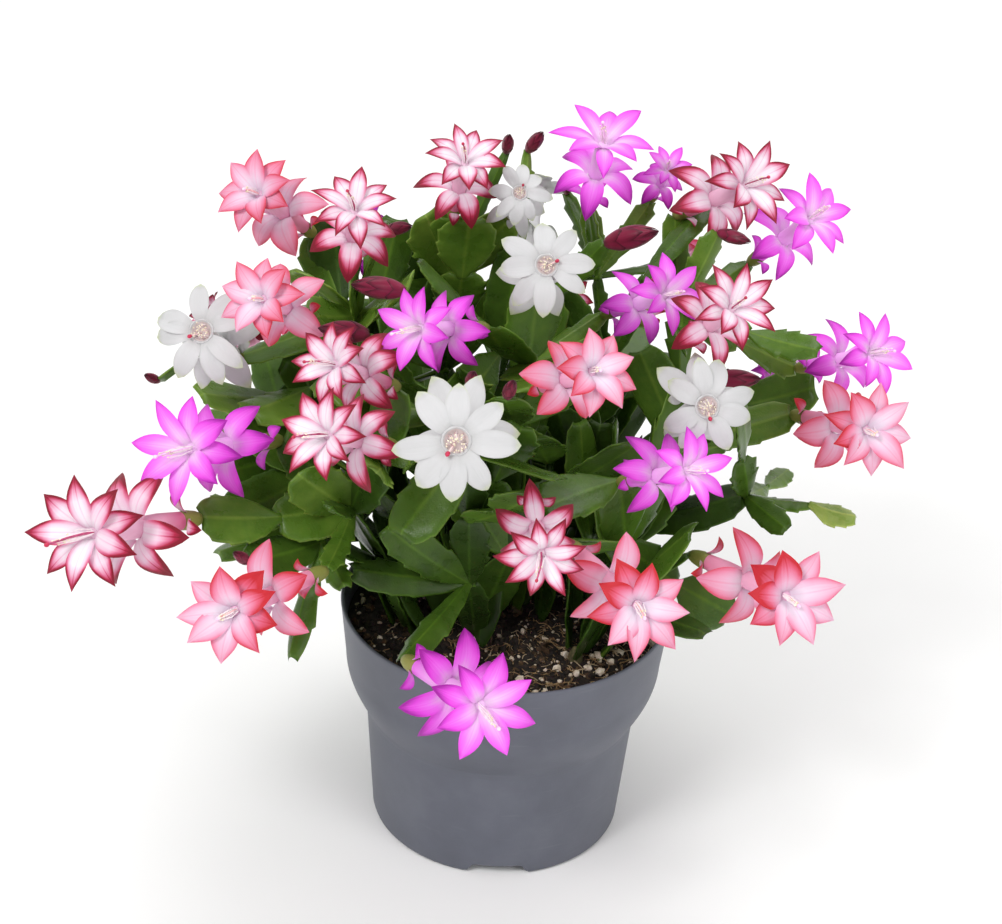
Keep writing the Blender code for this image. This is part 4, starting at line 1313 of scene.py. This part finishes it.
def bezier(controls, t):
    """The point at t of the curve with four control points."""
    a, b, c, d = controls
    return a * (1 - t) ** 3 + b * 3 * t * (1 - t) ** 2 + c * 3 * t * t * (1 - t) + d * t ** 3


def petal_grid(curve, outline, half_width, compass, cup, crease, roll, place):
    """Rows for one petal. curve is four (reach, height) points; place moves a finished point."""
    curve = [Vector((reach, 0.0, height)) for reach, height in curve]
    spin = Matrix.Rotation(math.radians(compass), 3, "Z")
    grid = []
    for row in range(PETAL_ROWS + 1):
        t = row / PETAL_ROWS
        centre = bezier(curve, t)
        tangent = (bezier(curve, min(t + 0.02, 1.0)) - bezier(curve, max(t - 0.02, 0.0))).normalized()
        side = Matrix.Rotation(math.radians(roll) * t, 3, tangent) @ Vector((0.0, 1.0, 0.0))
        normal = tangent.cross(side)
        if row == PETAL_ROWS:
            grid.append([(place(spin @ centre), Vector(), (0.5, 1.0))])
            continue
        half = half_width * max(smooth_curve(outline, t), 0.02)
        line = []
        for aside in PETAL_COLUMNS:
            lift = cup * half * aside * aside
            lift -= crease * math.exp(-(aside / CREASE_REACH) ** 2) * ease(0.0, 0.3, t)
            point = centre + side * half * aside + normal * lift
            thick = PETAL_THICK * (1.0 - aside * aside) * (1.0 - 0.5 * t) + RIM_THICK
            point, tip = place(spin @ point), place(spin @ (point + normal * thick))
            line.append((point, tip - point, ((aside + 1) / 2, t)))
        grid.append(line)
    return grid


print("a petal sheet:", (PETAL_ROWS - 1) * (len(PETAL_COLUMNS) - 1), "quads a side")

# %% [markdown]
# ### Petal finishes
# Petals are soft, matt and a little translucent. The colour is one ramp from the pale middle to the
# deep edge, and three grey ramps say how deep it is: along the midline, how much deeper at the rim,
# and how far in the rim's colour reaches. The last one also paints a thin deeper line down the middle
# of each petal: painted shade in its crease. Fine veins 0.8 mm apart run along the petal. "tone" moves
# a whole petal along the ramp, so the petals next to the tube and the undersides are deeper.

# %% Petal material
def petal_material(name, colours, middle, margin, spread, tone_weight=0.5, roughness=0.55):
    """A petal's finish. middle, margin and spread are the three grey ramps, and spread also paints a thin
    deeper midline as painted crease shade; tone_weight is how much "tone" counts."""
    made, tree = new_material(name)
    chart = add_node(tree, "UVMap", {"uv_map": "sheet"}).outputs[0]
    split = add_node(tree, "SeparateXYZ", inputs={0: chart})
    along = split.outputs["Y"]
    doubled = add_node(tree, "Math", {"operation": "MULTIPLY_ADD"},
                       {0: split.outputs["X"], 1: 2.0, 2: -1.0})
    edge = add_node(tree, "Math", {"operation": "ABSOLUTE"}, {0: doubled.outputs[0]})
    middle_depth = add_node(tree, "ValToRGB", inputs={"Fac": along}, stops=middle)
    margin_depth = add_node(tree, "ValToRGB", inputs={"Fac": along}, stops=margin)
    # How far in the rim's colour reaches. The ramp's first stops also paint a thin deeper midline: painted
    # shade in the petal's crease.
    rim_reach_and_crease_shade = add_node(tree, "ValToRGB", inputs={"Fac": edge.outputs[0]}, stops=spread)
    depth = add_node(tree, "Math", {"operation": "MULTIPLY_ADD"},
                     {0: margin_depth.outputs[0], 1: rim_reach_and_crease_shade.outputs[0], 2: middle_depth.outputs[0]})
    tone = add_node(tree, "Attribute", {"attribute_name": "tone"}).outputs["Fac"]
    toned = add_node(tree, "Math", {"operation": "MULTIPLY_ADD"},
                     {0: tone, 1: tone_weight, 2: -0.5 * tone_weight})
    shaped = add_node(tree, "Math", {"operation": "MULTIPLY_ADD"},
                      {0: toned.outputs[0], 1: along, 2: depth.outputs[0]})
    veins_at = add_node(tree, "Mapping", inputs={"Vector": chart, "Scale": (11.0, 1.2, 1.0)})
    veins = add_node(tree, "TexNoise", inputs={"Vector": veins_at.outputs[0], "Scale": 1.0, "Detail": 3.0})
    veined = add_node(tree, "Math", {"operation": "MULTIPLY_ADD"},
                      {0: veins.outputs["Fac"], 1: 0.22, 2: -0.11})
    total = add_node(tree, "Math", {"operation": "ADD"}, {0: shaped.outputs[0], 1: veined.outputs[0]})
    colour = add_node(tree, "ValToRGB", inputs={"Fac": total.outputs[0]}, stops=colours)
    bump = add_node(tree, "Bump", inputs={
        "Height": veins.outputs["Fac"], "Strength": 0.35, "Distance": 0.0004})
    shader = add_node(tree, "BsdfPrincipled", inputs={
        "Base Color": colour.outputs[0], "Roughness": roughness, "Normal": bump.outputs[0], "IOR": 1.4,
        "Sheen Weight": 0.15})
    glow = add_node(tree, "BsdfTranslucent", inputs={"Color": colour.outputs[0]})
    soft = add_node(tree, "MixShader", inputs={0: 0.32, 1: shader.outputs[0], 2: glow.outputs[0]})
    add_node(tree, "OutputMaterial", inputs={"Surface": soft.outputs[0]})
    return made


CRIMSON = [(0.0, "#FFFAFF"), (0.25, "#F6D2E6"), (0.5, "#EA82AA"), (0.75, "#C62A52"), (1.0, "#90102C")]
MAGENTA = [(0.0, "#FFF4FF"), (0.25, "#FFCAFF"), (0.5, "#FF8CFF"), (0.78, "#F450EE"), (1.0, "#B820B4")]
SALMON = [(0.0, "#FAF0FC"), (0.25, "#F9CEE6"), (0.5, "#F5A0C2"), (0.75, "#EC6888"), (1.0, "#D62C3A")]
WHITE = [(0.0, "#E4E4E5"), (0.45, "#D8D8D8"), (0.8, "#D6DCC2"), (1.0, "#C6D096")]
RED_BUD = [(0.0, "#C04A72"), (0.35, "#982046"), (0.7, "#64102C"), (1.0, "#38081A")]

# In the crimson, magenta and salmon finishes the third ramp starts with a thin deeper midline: painted shade in
# the petal's crease.
PETALS = {
    "crimson": petal_material(
        "petal_crimson_edged", CRIMSON,
        [(0.0, 0.06), (0.2, 0.0), (0.56, 0.03), (0.74, 0.38), (0.9, 0.85), (1.0, 0.98)],
        [(0.05, 0.28), (0.3, 0.4), (0.5, 0.66), (0.7, 0.9), (1.0, 0.6)],
        [(0.0, 0.25), (0.09, 0.0), (0.35, 0.02), (0.65, 0.34), (0.87, 0.8), (1.0, 1.0)]),
    "magenta": petal_material(
        "petal_magenta", MAGENTA,
        [(0.0, 0.0), (0.25, 0.12), (0.6, 0.4), (0.85, 0.6), (1.0, 0.8)],
        [(0.0, 0.1), (0.4, 0.34), (1.0, 0.25)],
        [(0.0, 0.2), (0.08, 0.0), (0.6, 0.6), (1.0, 1.0)]),
    "salmon": petal_material(
        "petal_salmon", SALMON,
        [(0.0, 0.0), (0.3, 0.04), (0.65, 0.3), (1.0, 0.58)],
        [(0.1, 0.12), (0.45, 0.56), (1.0, 0.4)],
        [(0.0, 0.22), (0.1, 0.0), (0.4, 0.1), (0.8, 0.62), (1.0, 1.0)], tone_weight=1.25),
    "white": petal_material(
        "petal_white", WHITE,
        [(0.0, 0.4), (0.3, 0.1), (0.8, 0.2), (1.0, 0.95)],
        [(0.2, 0.1), (0.6, 0.4), (1.0, 0.6)],
        [(0.75, 0.0), (0.93, 0.5), (1.0, 1.0)], tone_weight=0.35),
}
print("petal finishes:", ", ".join(finish.name for finish in PETALS.values()))

# %% Tube, throat and ovary finishes
FLAT = [(0.0, 0.0), (1.0, 0.0)]
TUBE_TONE = 0.1
TUBE_DEPTHS = {  # colours; depth at the foot, halfway and at the mouth
    "crimson": (CRIMSON, 0.8, 0.3, 0.2),
    "magenta": (MAGENTA, 0.8, 0.25, 0.1),
    "salmon": (SALMON, 0.8, 0.35, 0.2),
    "white": (WHITE, 1.0, 0.2, 0.05),
}
TUBES = {kind: petal_material("tube_" + kind, colours, [(0.0, foot), (0.2, 0.5), (0.45, halfway), (1.0, mouth)],
                              FLAT, FLAT, TUBE_TONE)
         for kind, (colours, foot, halfway, mouth) in TUBE_DEPTHS.items()}
throat_skin = petal_material("throat_blush", [(0.0, "#E6D4D2"), (0.5, "#EEE0DE"), (1.0, "#F6ECEC")],
                             [(0.0, 0.4), (1.0, 0.5)], FLAT, FLAT, TUBE_TONE)
ovary_skin = skin_material("ovary_skin_waxy", [(0.0, "#3B4A1A"), (0.5, "#6C7A34"), (1.0, "#A89A5A")], 0.45)
print("tube finishes:", ", ".join(finish.name for finish in TUBES.values()))

# %% [markdown]
# ### Stamens and style
# Filaments are white threads with a grain of cream pollen at the end. The style is stouter, pink to
# crimson, and ends in a small sticky stigma. They are so thin that a plain soft finish with a little
# mottling is enough.

# %% Thread finishes
def thread_material(name, dark, pale, roughness):
    """A soft finish for the thin parts."""
    made, tree = new_material(name)
    place = add_node(tree, "TexCoord").outputs["Object"]
    mottle = add_node(tree, "TexNoise", inputs={"Vector": place, "Scale": 700.0, "Detail": 2.0})
    colour = add_node(tree, "ValToRGB", inputs={"Fac": mottle.outputs["Fac"]},
                      stops=[(0.35, dark), (0.65, pale)])
    shader = add_node(tree, "BsdfPrincipled", inputs={
        "Base Color": colour.outputs[0], "Roughness": roughness})
    add_node(tree, "OutputMaterial", inputs={"Surface": shader.outputs[0]})
    return made


filament = thread_material("filament_white", "#F4E2EA", "#FFF8F6", 0.5)
pollen = thread_material("pollen_cream", "#F0E4C4", "#FBF4E0", 0.8)
STYLES = {
    "crimson": thread_material("style_crimson", "#A02C5C", "#C4507C", 0.4),
    "magenta": thread_material("style_pale_pink", "#F0B4E8", "#FFD8F8", 0.4),
    "salmon": thread_material("style_rose", "#F0A8B4", "#FAD0CC", 0.4),
    "white": thread_material("style_blush", "#E8C4C6", "#F6DEDC", 0.4),
}
stigma_red = thread_material("stigma_crimson", "#A8123C", "#C82850", 0.35)
stigma_pink = thread_material("stigma_pink", "#FFC8F0", "#FFE8FA", 0.35)
print("thread finishes:", filament.name, pollen.name, stigma_red.name)

# %% [markdown]
# ### The tube and the petals in place
# The tube is round and bends near its mouth, so the rosette can face the light while its foot still
# points along the stem. Everything in front of the bend is turned by one rotation about the
# rosette's centre, and the rings of the bend by a share of it, which keeps the tube smooth.

# %% Kinds of flower
KINDS = {  # rosette petals, their half width and reach; whorl petals, half width
    "crimson": (9, 3.5, 17.2, 6, 4.2),
    "magenta": (8, 3.5, 17.0, 6, 4.0),
    "salmon": (9, 4.6, 17.2, 5, 5.2),
    "white": (8, 4.0, 18.8, 5, 4.5),
}
LOOSENESS = {"crimson": 0.14, "magenta": 0.14, "salmon": 0.14, "white": 0.26}
LOW_PETAL = ((0.09, 38.0), (0.32, 43.6), (0.68, 43.6), (1.0, 40.4))  # share of reach, height
HIGH_PETAL = ((0.07, 38.5), (0.26, 45.0), (0.62, 47.0), (0.96, 45.6))
RING_PETAL = ((0.225, 44.9), (0.42, 46.4), (0.72, 45.6), (1.0, 41.4))
WHORL_CURVE = ((2.6, 21.0), (6.5, 26.5), (12.8, 26.0), (17.6, 17.5))
SCALE_CURVE = ((2.4, 6.0), (4.2, 10.0), (6.4, 11.0), (8.6, 8.0))
WHORL_TURN = 0.4  # the whorl follows the rosette's turn by this share
WHORL_TONES = {"crimson": 0.95, "magenta": 0.85, "salmon": 0.62, "white": 0.6}
CREASE, SCALE_CREASE, SCALE_HALF_WIDTH = 0.3, 0.1, 2.2
UNDERSIDE, WHORL_UNDERSIDE = 0.25, 0.3  # how much deeper the undersides are
print("kinds of flower:", ", ".join(KINDS))

# %% Flower tube
TUBE_SIDES = 16
TUBE_BEND = (16.0, 38.0)  # the tube bends between these heights
OVARY_RINGS = 5
TUBE = [(0.4, 0.0), (1.8, 0.6), (2.5, 2.5), (2.9, 5.0), (2.7, 8.0), (2.8, 11.0), (3.0, 16.0), (3.0, 22.0),
        (3.0, 28.0), (3.0, 33.0)]  # radius, height
CLOSED_MOUTH = [(2.8, 37.0), (2.0, 39.0), (0.9, 39.8), (0.2, 40.0)]
OPEN_MOUTH = [(3.7, 38.0), (4.2, 42.0), (4.6, 44.4), (4.6, 45.2), (4.1, 45.5), (3.6, 44.8), (3.0, 43.8),
              (2.0, 43.2), (0.3, 43.0)]
THROAT_FACES = 3 * TUBE_SIDES + 2  # the three inner bands of the open mouth, and the tube's two ends
FRILL = 0.35
ROSETTE_CENTRE = Vector((0.0, 0.0, FLOWER_LENGTH))


def turned(point, hinge, angle):
    """Turn a point about the rosette's centre."""
    return ROSETTE_CENTRE + Quaternion(hinge, angle) @ (point - ROSETTE_CENTRE)


def add_flower_tube(surface, kind, hinge, angle):
    """The ovary and the tube. The white flower's mouth is wide and a little frilled."""
    tube = TUBE + (OPEN_MOUTH if kind == "white" else CLOSED_MOUTH)
    for finish, first, last in ((ovary_skin, 0, OVARY_RINGS), (TUBES[kind], OVARY_RINGS - 1, len(tube))):
        rings = tube[first:last]
        spine = [turned(UP * height, hinge, angle * ease(*TUBE_BEND, height)) for _, height in rings]
        start = len(surface.points)
        surface.add_tube(spine, [radius for radius, _ in rings], TUBE_SIDES, finish)
        for index, (radius, height) in enumerate(rings):
            axis = Quaternion(hinge, angle * ease(*TUBE_BEND, height))
            for side in range(TUBE_SIDES):
                frill = FRILL * math.cos(2.4 * side) * ease(44.0, 45.0, height)
                spoke = direction(360.0 / TUBE_SIDES * side, 0.0) * radius + UP * frill
                corner = start + TUBE_SIDES * index + side
                surface.points[corner] = spine[index] + axis @ spoke
                surface.charts[corner] = (0.5, min(height / FLOWER_LENGTH, 1.0))
    if kind == "white":
        surface.finishes[-THROAT_FACES:] = [throat_skin] * THROAT_FACES


print("rings of a tube:", len(TUBE + CLOSED_MOUTH), "or, with an open mouth,", len(TUBE + OPEN_MOUTH))

# %% Rosette, whorl and scales
def jittered(curve, rng, stretch, rise):
    """A petal's curve with its own length and lift."""
    long = rng.uniform(1.0 - stretch, 1.0 + stretch)
    lift = rng.uniform(-rise, rise)
    return [(curve[0][0] + (reach - curve[0][0]) * long, height + lift * (i / 3) ** 2)
            for i, (reach, height) in enumerate(curve)]


def part_closed(curve, opening):
    """A petal's curve drawn in and forwards; opening is 1 for a fully open flower."""
    return [(out * opening, height + (1.0 - opening) * out * 0.5) for out, height in curve]


def add_rosette(surface, kind, hinge, angle, opening, stretch, rng):
    """The petals round the mouth, by turns low and high. Those on the tube's side are shorter, bent back
    and deeper in colour."""
    count, half_width, reach, *_ = KINDS[kind]
    reach *= stretch
    back = Quaternion(hinge, -angle) @ -UP  # where the tube lies, seen from the rosette
    side_on = min(back.xy.length * 2.0, 1.0)
    back_compass = math.degrees(math.atan2(back.y, back.x))
    step = 360.0 / count
    loose = LOOSENESS[kind]
    low, high = (RING_PETAL, RING_PETAL) if kind == "white" else (LOW_PETAL, HIGH_PETAL)
    for index in range(count):
        compass = step * index + rng.uniform(-loose, loose) * step
        beside_tube = side_on * max(math.cos(math.radians(compass - back_compass)), -0.4)
        level = min(max(0.5 + 0.5 * math.cos(math.pi * index) + rng.uniform(-0.15, 0.15), 0.0), 1.0)
        curve = [((a + (c - a) * level) * reach, b + (d - b) * level) for (a, b), (c, d) in zip(low, high)]
        fold = 6.5 * max(beside_tube, 0.0)
        curve = [(out * (1.0 - 0.13 * beside_tube * i / 3), height - fold * (i / 3) ** 2)
                 for i, (out, height) in enumerate(curve)]
        tone = 0.5 + rng.uniform(-0.15, 0.15) + 0.6 * max(beside_tube, -0.2)
        curve = jittered(part_closed(curve, opening), rng, 0.5 * loose, 10.0 * loose)
        grid = petal_grid(curve, OUTLINES[kind], half_width * rng.uniform(0.88, 1.12), compass,
                          rng.uniform(-0.05, 0.16), CREASE, rng.uniform(-16.0, 16.0),
                          lambda point: turned(point, hinge, angle))
        surface.add_sheet(grid, PETALS[kind], tone, UNDERSIDE)


def add_whorl(surface, kind, hinge, angle, opening, rng):
    """The wider petals halfway down the tube, bent back."""
    *_, count, half_width = KINDS[kind]
    for index in range(count):
        compass = 360.0 / count * (index + 0.3) + rng.uniform(-12.0, 12.0)
        grid = petal_grid(jittered(part_closed(WHORL_CURVE, opening), rng, 0.1, 2.5), OUTLINES["broad"],
                          half_width * rng.uniform(0.92, 1.12), compass, rng.uniform(-0.12, 0.1), CREASE,
                          rng.uniform(-18.0, 18.0), lambda point: turned(point, hinge, angle * WHORL_TURN))
        surface.add_sheet(grid, PETALS[kind], WHORL_TONES[kind] + rng.uniform(-0.2, 0.2), WHORL_UNDERSIDE)


def add_scales(surface, kind, rng):
    """Three small scales at the foot of the tube."""
    for index in range(3):
        grid = petal_grid(jittered(SCALE_CURVE, rng, 0.2, 1.0), OUTLINES["broad"], SCALE_HALF_WIDTH,
                          120.0 * index + rng.uniform(-20.0, 20.0), 0.1, SCALE_CREASE, 0.0, lambda point: point)
        surface.add_sheet(grid, PETALS[kind], 1.0, WHORL_UNDERSIDE)


print("petals of each kind:", {kind: values[0] + values[3] for kind, values in KINDS.items()})

# %% Column of stamens
STAMENS, THROAT_STAMENS = 12, 26
COLUMN_LENGTH = {"crimson": 14.0, "magenta": 13.0, "salmon": 7.0}
COLUMN_FOOT, COLUMN_SAG = 40.0, 0.3
FILAMENT_RADII, STYLE_RADII = (0.2, 0.18, 0.14), (0.42, 0.4, 0.36, 0.34)
POLLEN_RADII, STIGMA, OPEN_STIGMA = (0.3, 0.3, 0.5), 0.65, 0.75


def flower_surface(kind, hinge, angle, droop, opening, stretch, rng):
    """A flower along +Z from its seat, with its rosette turned by angle about hinge. opening is 1 for a
    fully open flower and stretch lengthens its rosette."""
    surface = Surface()
    add_flower_tube(surface, kind, hinge, angle)
    add_rosette(surface, kind, hinge, angle, opening, stretch, rng)
    add_whorl(surface, kind, hinge, angle, opening, rng)
    add_scales(surface, kind, rng)
    if opening == 1.0:
        add_column(surface, kind, droop, rng)
    return surface


def add_column(surface, kind, droop, rng):
    """Stamens in a bunch and the style beside them, out of the mouth and a little towards droop."""
    if kind == "white":
        add_open_throat(surface, rng)
        return
    sag = droop * COLUMN_SAG
    long = COLUMN_LENGTH[kind]
    for _ in range(STAMENS):
        spread = direction(rng.uniform(0.0, 360.0), 0.0) * rng.uniform(0.2, 1.0)
        foot = spread * 0.9 + UP * COLUMN_FOOT
        head = spread * 1.3 + (UP + sag) * rng.uniform(0.45, 0.8) * long + UP * (COLUMN_FOOT + 1.0)
        add_stamen(surface, foot, head, foot.lerp(head, 0.5) + spread * 0.7 - sag, filament, rng)
    spine = [UP * COLUMN_FOOT + (UP + sag * part) * long * part for part in (0.0, 0.25, 0.6, 1.0)]
    add_style(surface, spine, STYLES[kind], stigma_red if kind == "crimson" else stigma_pink, STIGMA, rng)


def add_open_throat(surface, rng):
    """In a white flower the stamens line the wide throat and the style leans on its rim."""
    for index in range(THROAT_STAMENS):
        out = direction(360.0 / THROAT_STAMENS * index + rng.uniform(-8.0, 8.0), 0.0)
        head = out * rng.uniform(0.6, 3.2) + UP * rng.uniform(45.0, 47.2)
        foot = out * rng.uniform(2.0, 2.8) + UP * 43.0
        finish = rng.choice((filament, STYLES["white"]))
        add_stamen(surface, foot, head, foot.lerp(head, 0.5) + out * 0.5, finish, rng)
    lean = direction(rng.uniform(0.0, 360.0), 0.0)
    spine = [UP * 40.6, lean * 0.8 + UP * 43.4, lean * 2.3 + UP * 45.8, lean * 4.0 + UP * 47.4]
    add_style(surface, spine, STYLES["white"], stigma_red, OPEN_STIGMA, rng)


def add_stamen(surface, foot, head, middle, finish, rng):
    """A filament with a grain of pollen at its head."""
    surface.add_tube([foot, middle, head], FILAMENT_RADII, 4, finish)
    add_pebble(surface, 1, head, POLLEN_RADII, (head - middle).to_track_quat("Z", "Y"), 0.1, pollen, rng)


def add_style(surface, spine, finish, tip_finish, size, rng):
    """The style and the stigma at its tip."""
    surface.add_tube(spine, STYLE_RADII, 6, finish)
    turn = (spine[3] - spine[2]).to_track_quat("Z", "Y")
    add_pebble(surface, 2, spine[3], (size, size, 1.3 * size), turn, 0.05, tip_finish, rng)


print("stamens:", STAMENS, "in a bunch, or", THROAT_STAMENS, "round an open throat")

# %% [markdown]
# ### Setting the flowers on their shoots
# Each flower is built standing up, then one matrix turns it along its shoot, moves it to the tip and
# gives it its size. The rosette turns part of the way towards the light. The flowers at the shaded
# back are half open.

# %% Flowers
TURN_TO_LIGHT = {  # share of the way from the tube's axis towards the light
    "magenta_1": -0.3, "crimson_2": 0.0, "crimson_1": 0.1,
    "crimson_7": 0.6, "salmon_5": 0.7, "salmon_6": 0.7, "salmon_7": 0.7, "salmon_4": 0.55,
    "magenta_7": 0.6, "magenta_6": 0.45, "magenta_9": 0.6, "crimson_8": 0.3,
}
USUAL_TURN = 0.25
LONG_PETALS = {"magenta_1": 1.2, "magenta_7": 1.06, "salmon_6": 1.06}
DROOP = Vector((-0.7, -0.1, -0.6))
SHADE, HALF_OPEN = 0.3, 0.6  # flowers that point back more than SHADE are half open
ROLL_STEP = 0.35  # radians from one flower to the next, so no two stand alike


def aim(start, heading, roll):
    """Matrix that puts a piece built along +Z at start, pointing along heading."""
    turn = heading.to_track_quat("Z", "Y").to_matrix().to_4x4()
    return Matrix.Translation(start * MM) @ turn @ Matrix.Rotation(roll, 4, "Z")


counts = {}
for index, (colour, _, spot, compass, rise_angle, size) in enumerate(FLOWERS):
    counts[colour] = counts.get(colour, 0) + 1
    node_name = f"{colour}_{counts[colour]}"
    heading = direction(compass, rise_angle)
    start = flower_seat(spot, compass, rise_angle, size) + heading * GAP
    matrix = aim(start, heading, ROLL_STEP * index) @ Matrix.Scale(size, 4)
    light = FRONT_LIGHT if heading.y < SHADE else (heading + UP * 0.5).normalized()
    facing = heading.lerp(light, TURN_TO_LIGHT.get(node_name, USUAL_TURN)).normalized()
    to_local = matrix.to_3x3().normalized().inverted()
    local = (to_local @ facing).normalized()
    droop = to_local @ DROOP
    hinge, angle = UP.cross(local), UP.angle(local)
    hinge = hinge.normalized() if angle > 0.01 else Vector((1.0, 0.0, 0.0))
    opening = HALF_OPEN if heading.y > SHADE else 1.0
    surface = flower_surface(colour, hinge, angle, Vector((droop.x, droop.y, 0.0)), opening,
                             LONG_PETALS.get(node_name, 1.0), random.Random(500 + index))
    make_piece("bloom_" + node_name, surface, ["flower_" + node_name], matrix, sharp=70.0)
print("flowers:", counts)

# %% [markdown]
# ## Buds
# A bud is a pointed egg of folded petals, maroon where the flower will be crimson. Its petals lie
# over each other like tiles, so each is a sheet wrapped on the egg, in three rings from the short
# scales at the foot to the long petals that close the tip.

# %% Buds
bud_skin = petal_material(
    "bud_petal_maroon", RED_BUD, [(0.0, 0.55), (0.35, 0.3), (0.8, 0.45), (1.0, 0.9)],
    [(0.0, 0.1), (0.6, 0.35), (1.0, 0.4)], [(0.3, 0.0), (0.8, 0.5), (1.0, 1.0)], roughness=0.35)
BUD_PROFILE = [(0.0, 0.06), (0.08, 0.11), (0.25, 0.165), (0.45, 0.19), (0.7, 0.15), (0.9, 0.065), (1.0, 0.0)]
BUD_LEAF = [(0.0, 0.75), (0.35, 1.0), (0.7, 0.8), (1.0, 0.0)]  # outline of one petal
BUD_RINGS = ((5, 0.30, 1.0, 0.004), (5, 0.12, 0.80, 0.012), (4, 0.0, 0.42, 0.020))  # count, foot, tip, proud
BUD_BANDS, BUD_SIDES, BUD_ROWS = 14, 14, 10
BUD_INSET, BUD_SWELL, BUD_THICK = 0.012, 0.012, 0.006  # shares of a bud's length
BUD_LAP = 1.25  # each petal is this much wider than its share of the ring
SHORT_BUD, SHORT_SHAPE, LONG_SHAPE = 18, (0.72, 0.86), (0.9, 1.0)  # width and length of the finished bud


def bud_petal(compass, half_turn, foot, tip, proud):
    """Rows for one petal wrapped on the egg, from foot to tip."""
    grid = []
    for row in range(BUD_ROWS + 1):
        t = row / BUD_ROWS
        height = foot + (tip - foot) * t
        radius = max(smooth_curve(BUD_PROFILE, height), 0.0) + proud * (0.4 + t)
        if row == BUD_ROWS:
            grid.append([(direction(compass, 0.0) * radius + UP * height, Vector(), (0.5, 1.0))])
            continue
        share = smooth_curve(BUD_LEAF, t)
        line = []
        for aside in PETAL_COLUMNS:
            out = direction(compass + half_turn * share * aside, 0.0)
            point = out * (radius + BUD_SWELL * (1.0 - abs(aside))) + UP * height
            line.append((point, out * BUD_THICK, ((aside + 1) / 2, t)))
        grid.append(line)
    return grid


def bud_surface(rng):
    """A bud of unit length along +Z."""
    surface = Surface()
    heights = [step / BUD_BANDS for step in range(BUD_BANDS + 1)]
    radii = [max(smooth_curve(BUD_PROFILE, height) - BUD_INSET, 0.004) for height in heights]
    surface.add_tube([UP * max(height, 0.001) for height in heights], radii, BUD_SIDES, bud_skin)
    for count, foot, tip, proud in BUD_RINGS:
        for index in range(count):
            compass = 360.0 / count * (index + 0.37 * count) + rng.uniform(-6.0, 6.0)
            grid = bud_petal(compass, 180.0 / count * BUD_LAP, foot, tip, proud)
            surface.add_sheet(grid, bud_skin, 0.5 + rng.uniform(-0.25, 0.25))
    return surface


for index, (_, seat, compass, rise_angle, length) in enumerate(BUDS):
    heading = direction(compass, rise_angle)
    surface = bud_surface(random.Random(900 + index))
    slim, long = SHORT_SHAPE if length < SHORT_BUD else LONG_SHAPE
    matrix = aim(Vector(seat) + heading * GAP, heading, 2.0 * ROLL_STEP * index) @ Matrix.Diagonal(
        (length * slim, length * slim, length * long, 1.0))
    make_piece(f"closed_bud_{index + 1}", surface, [f"bud_{index + 1}"], matrix)
print("buds:", len(BUDS))
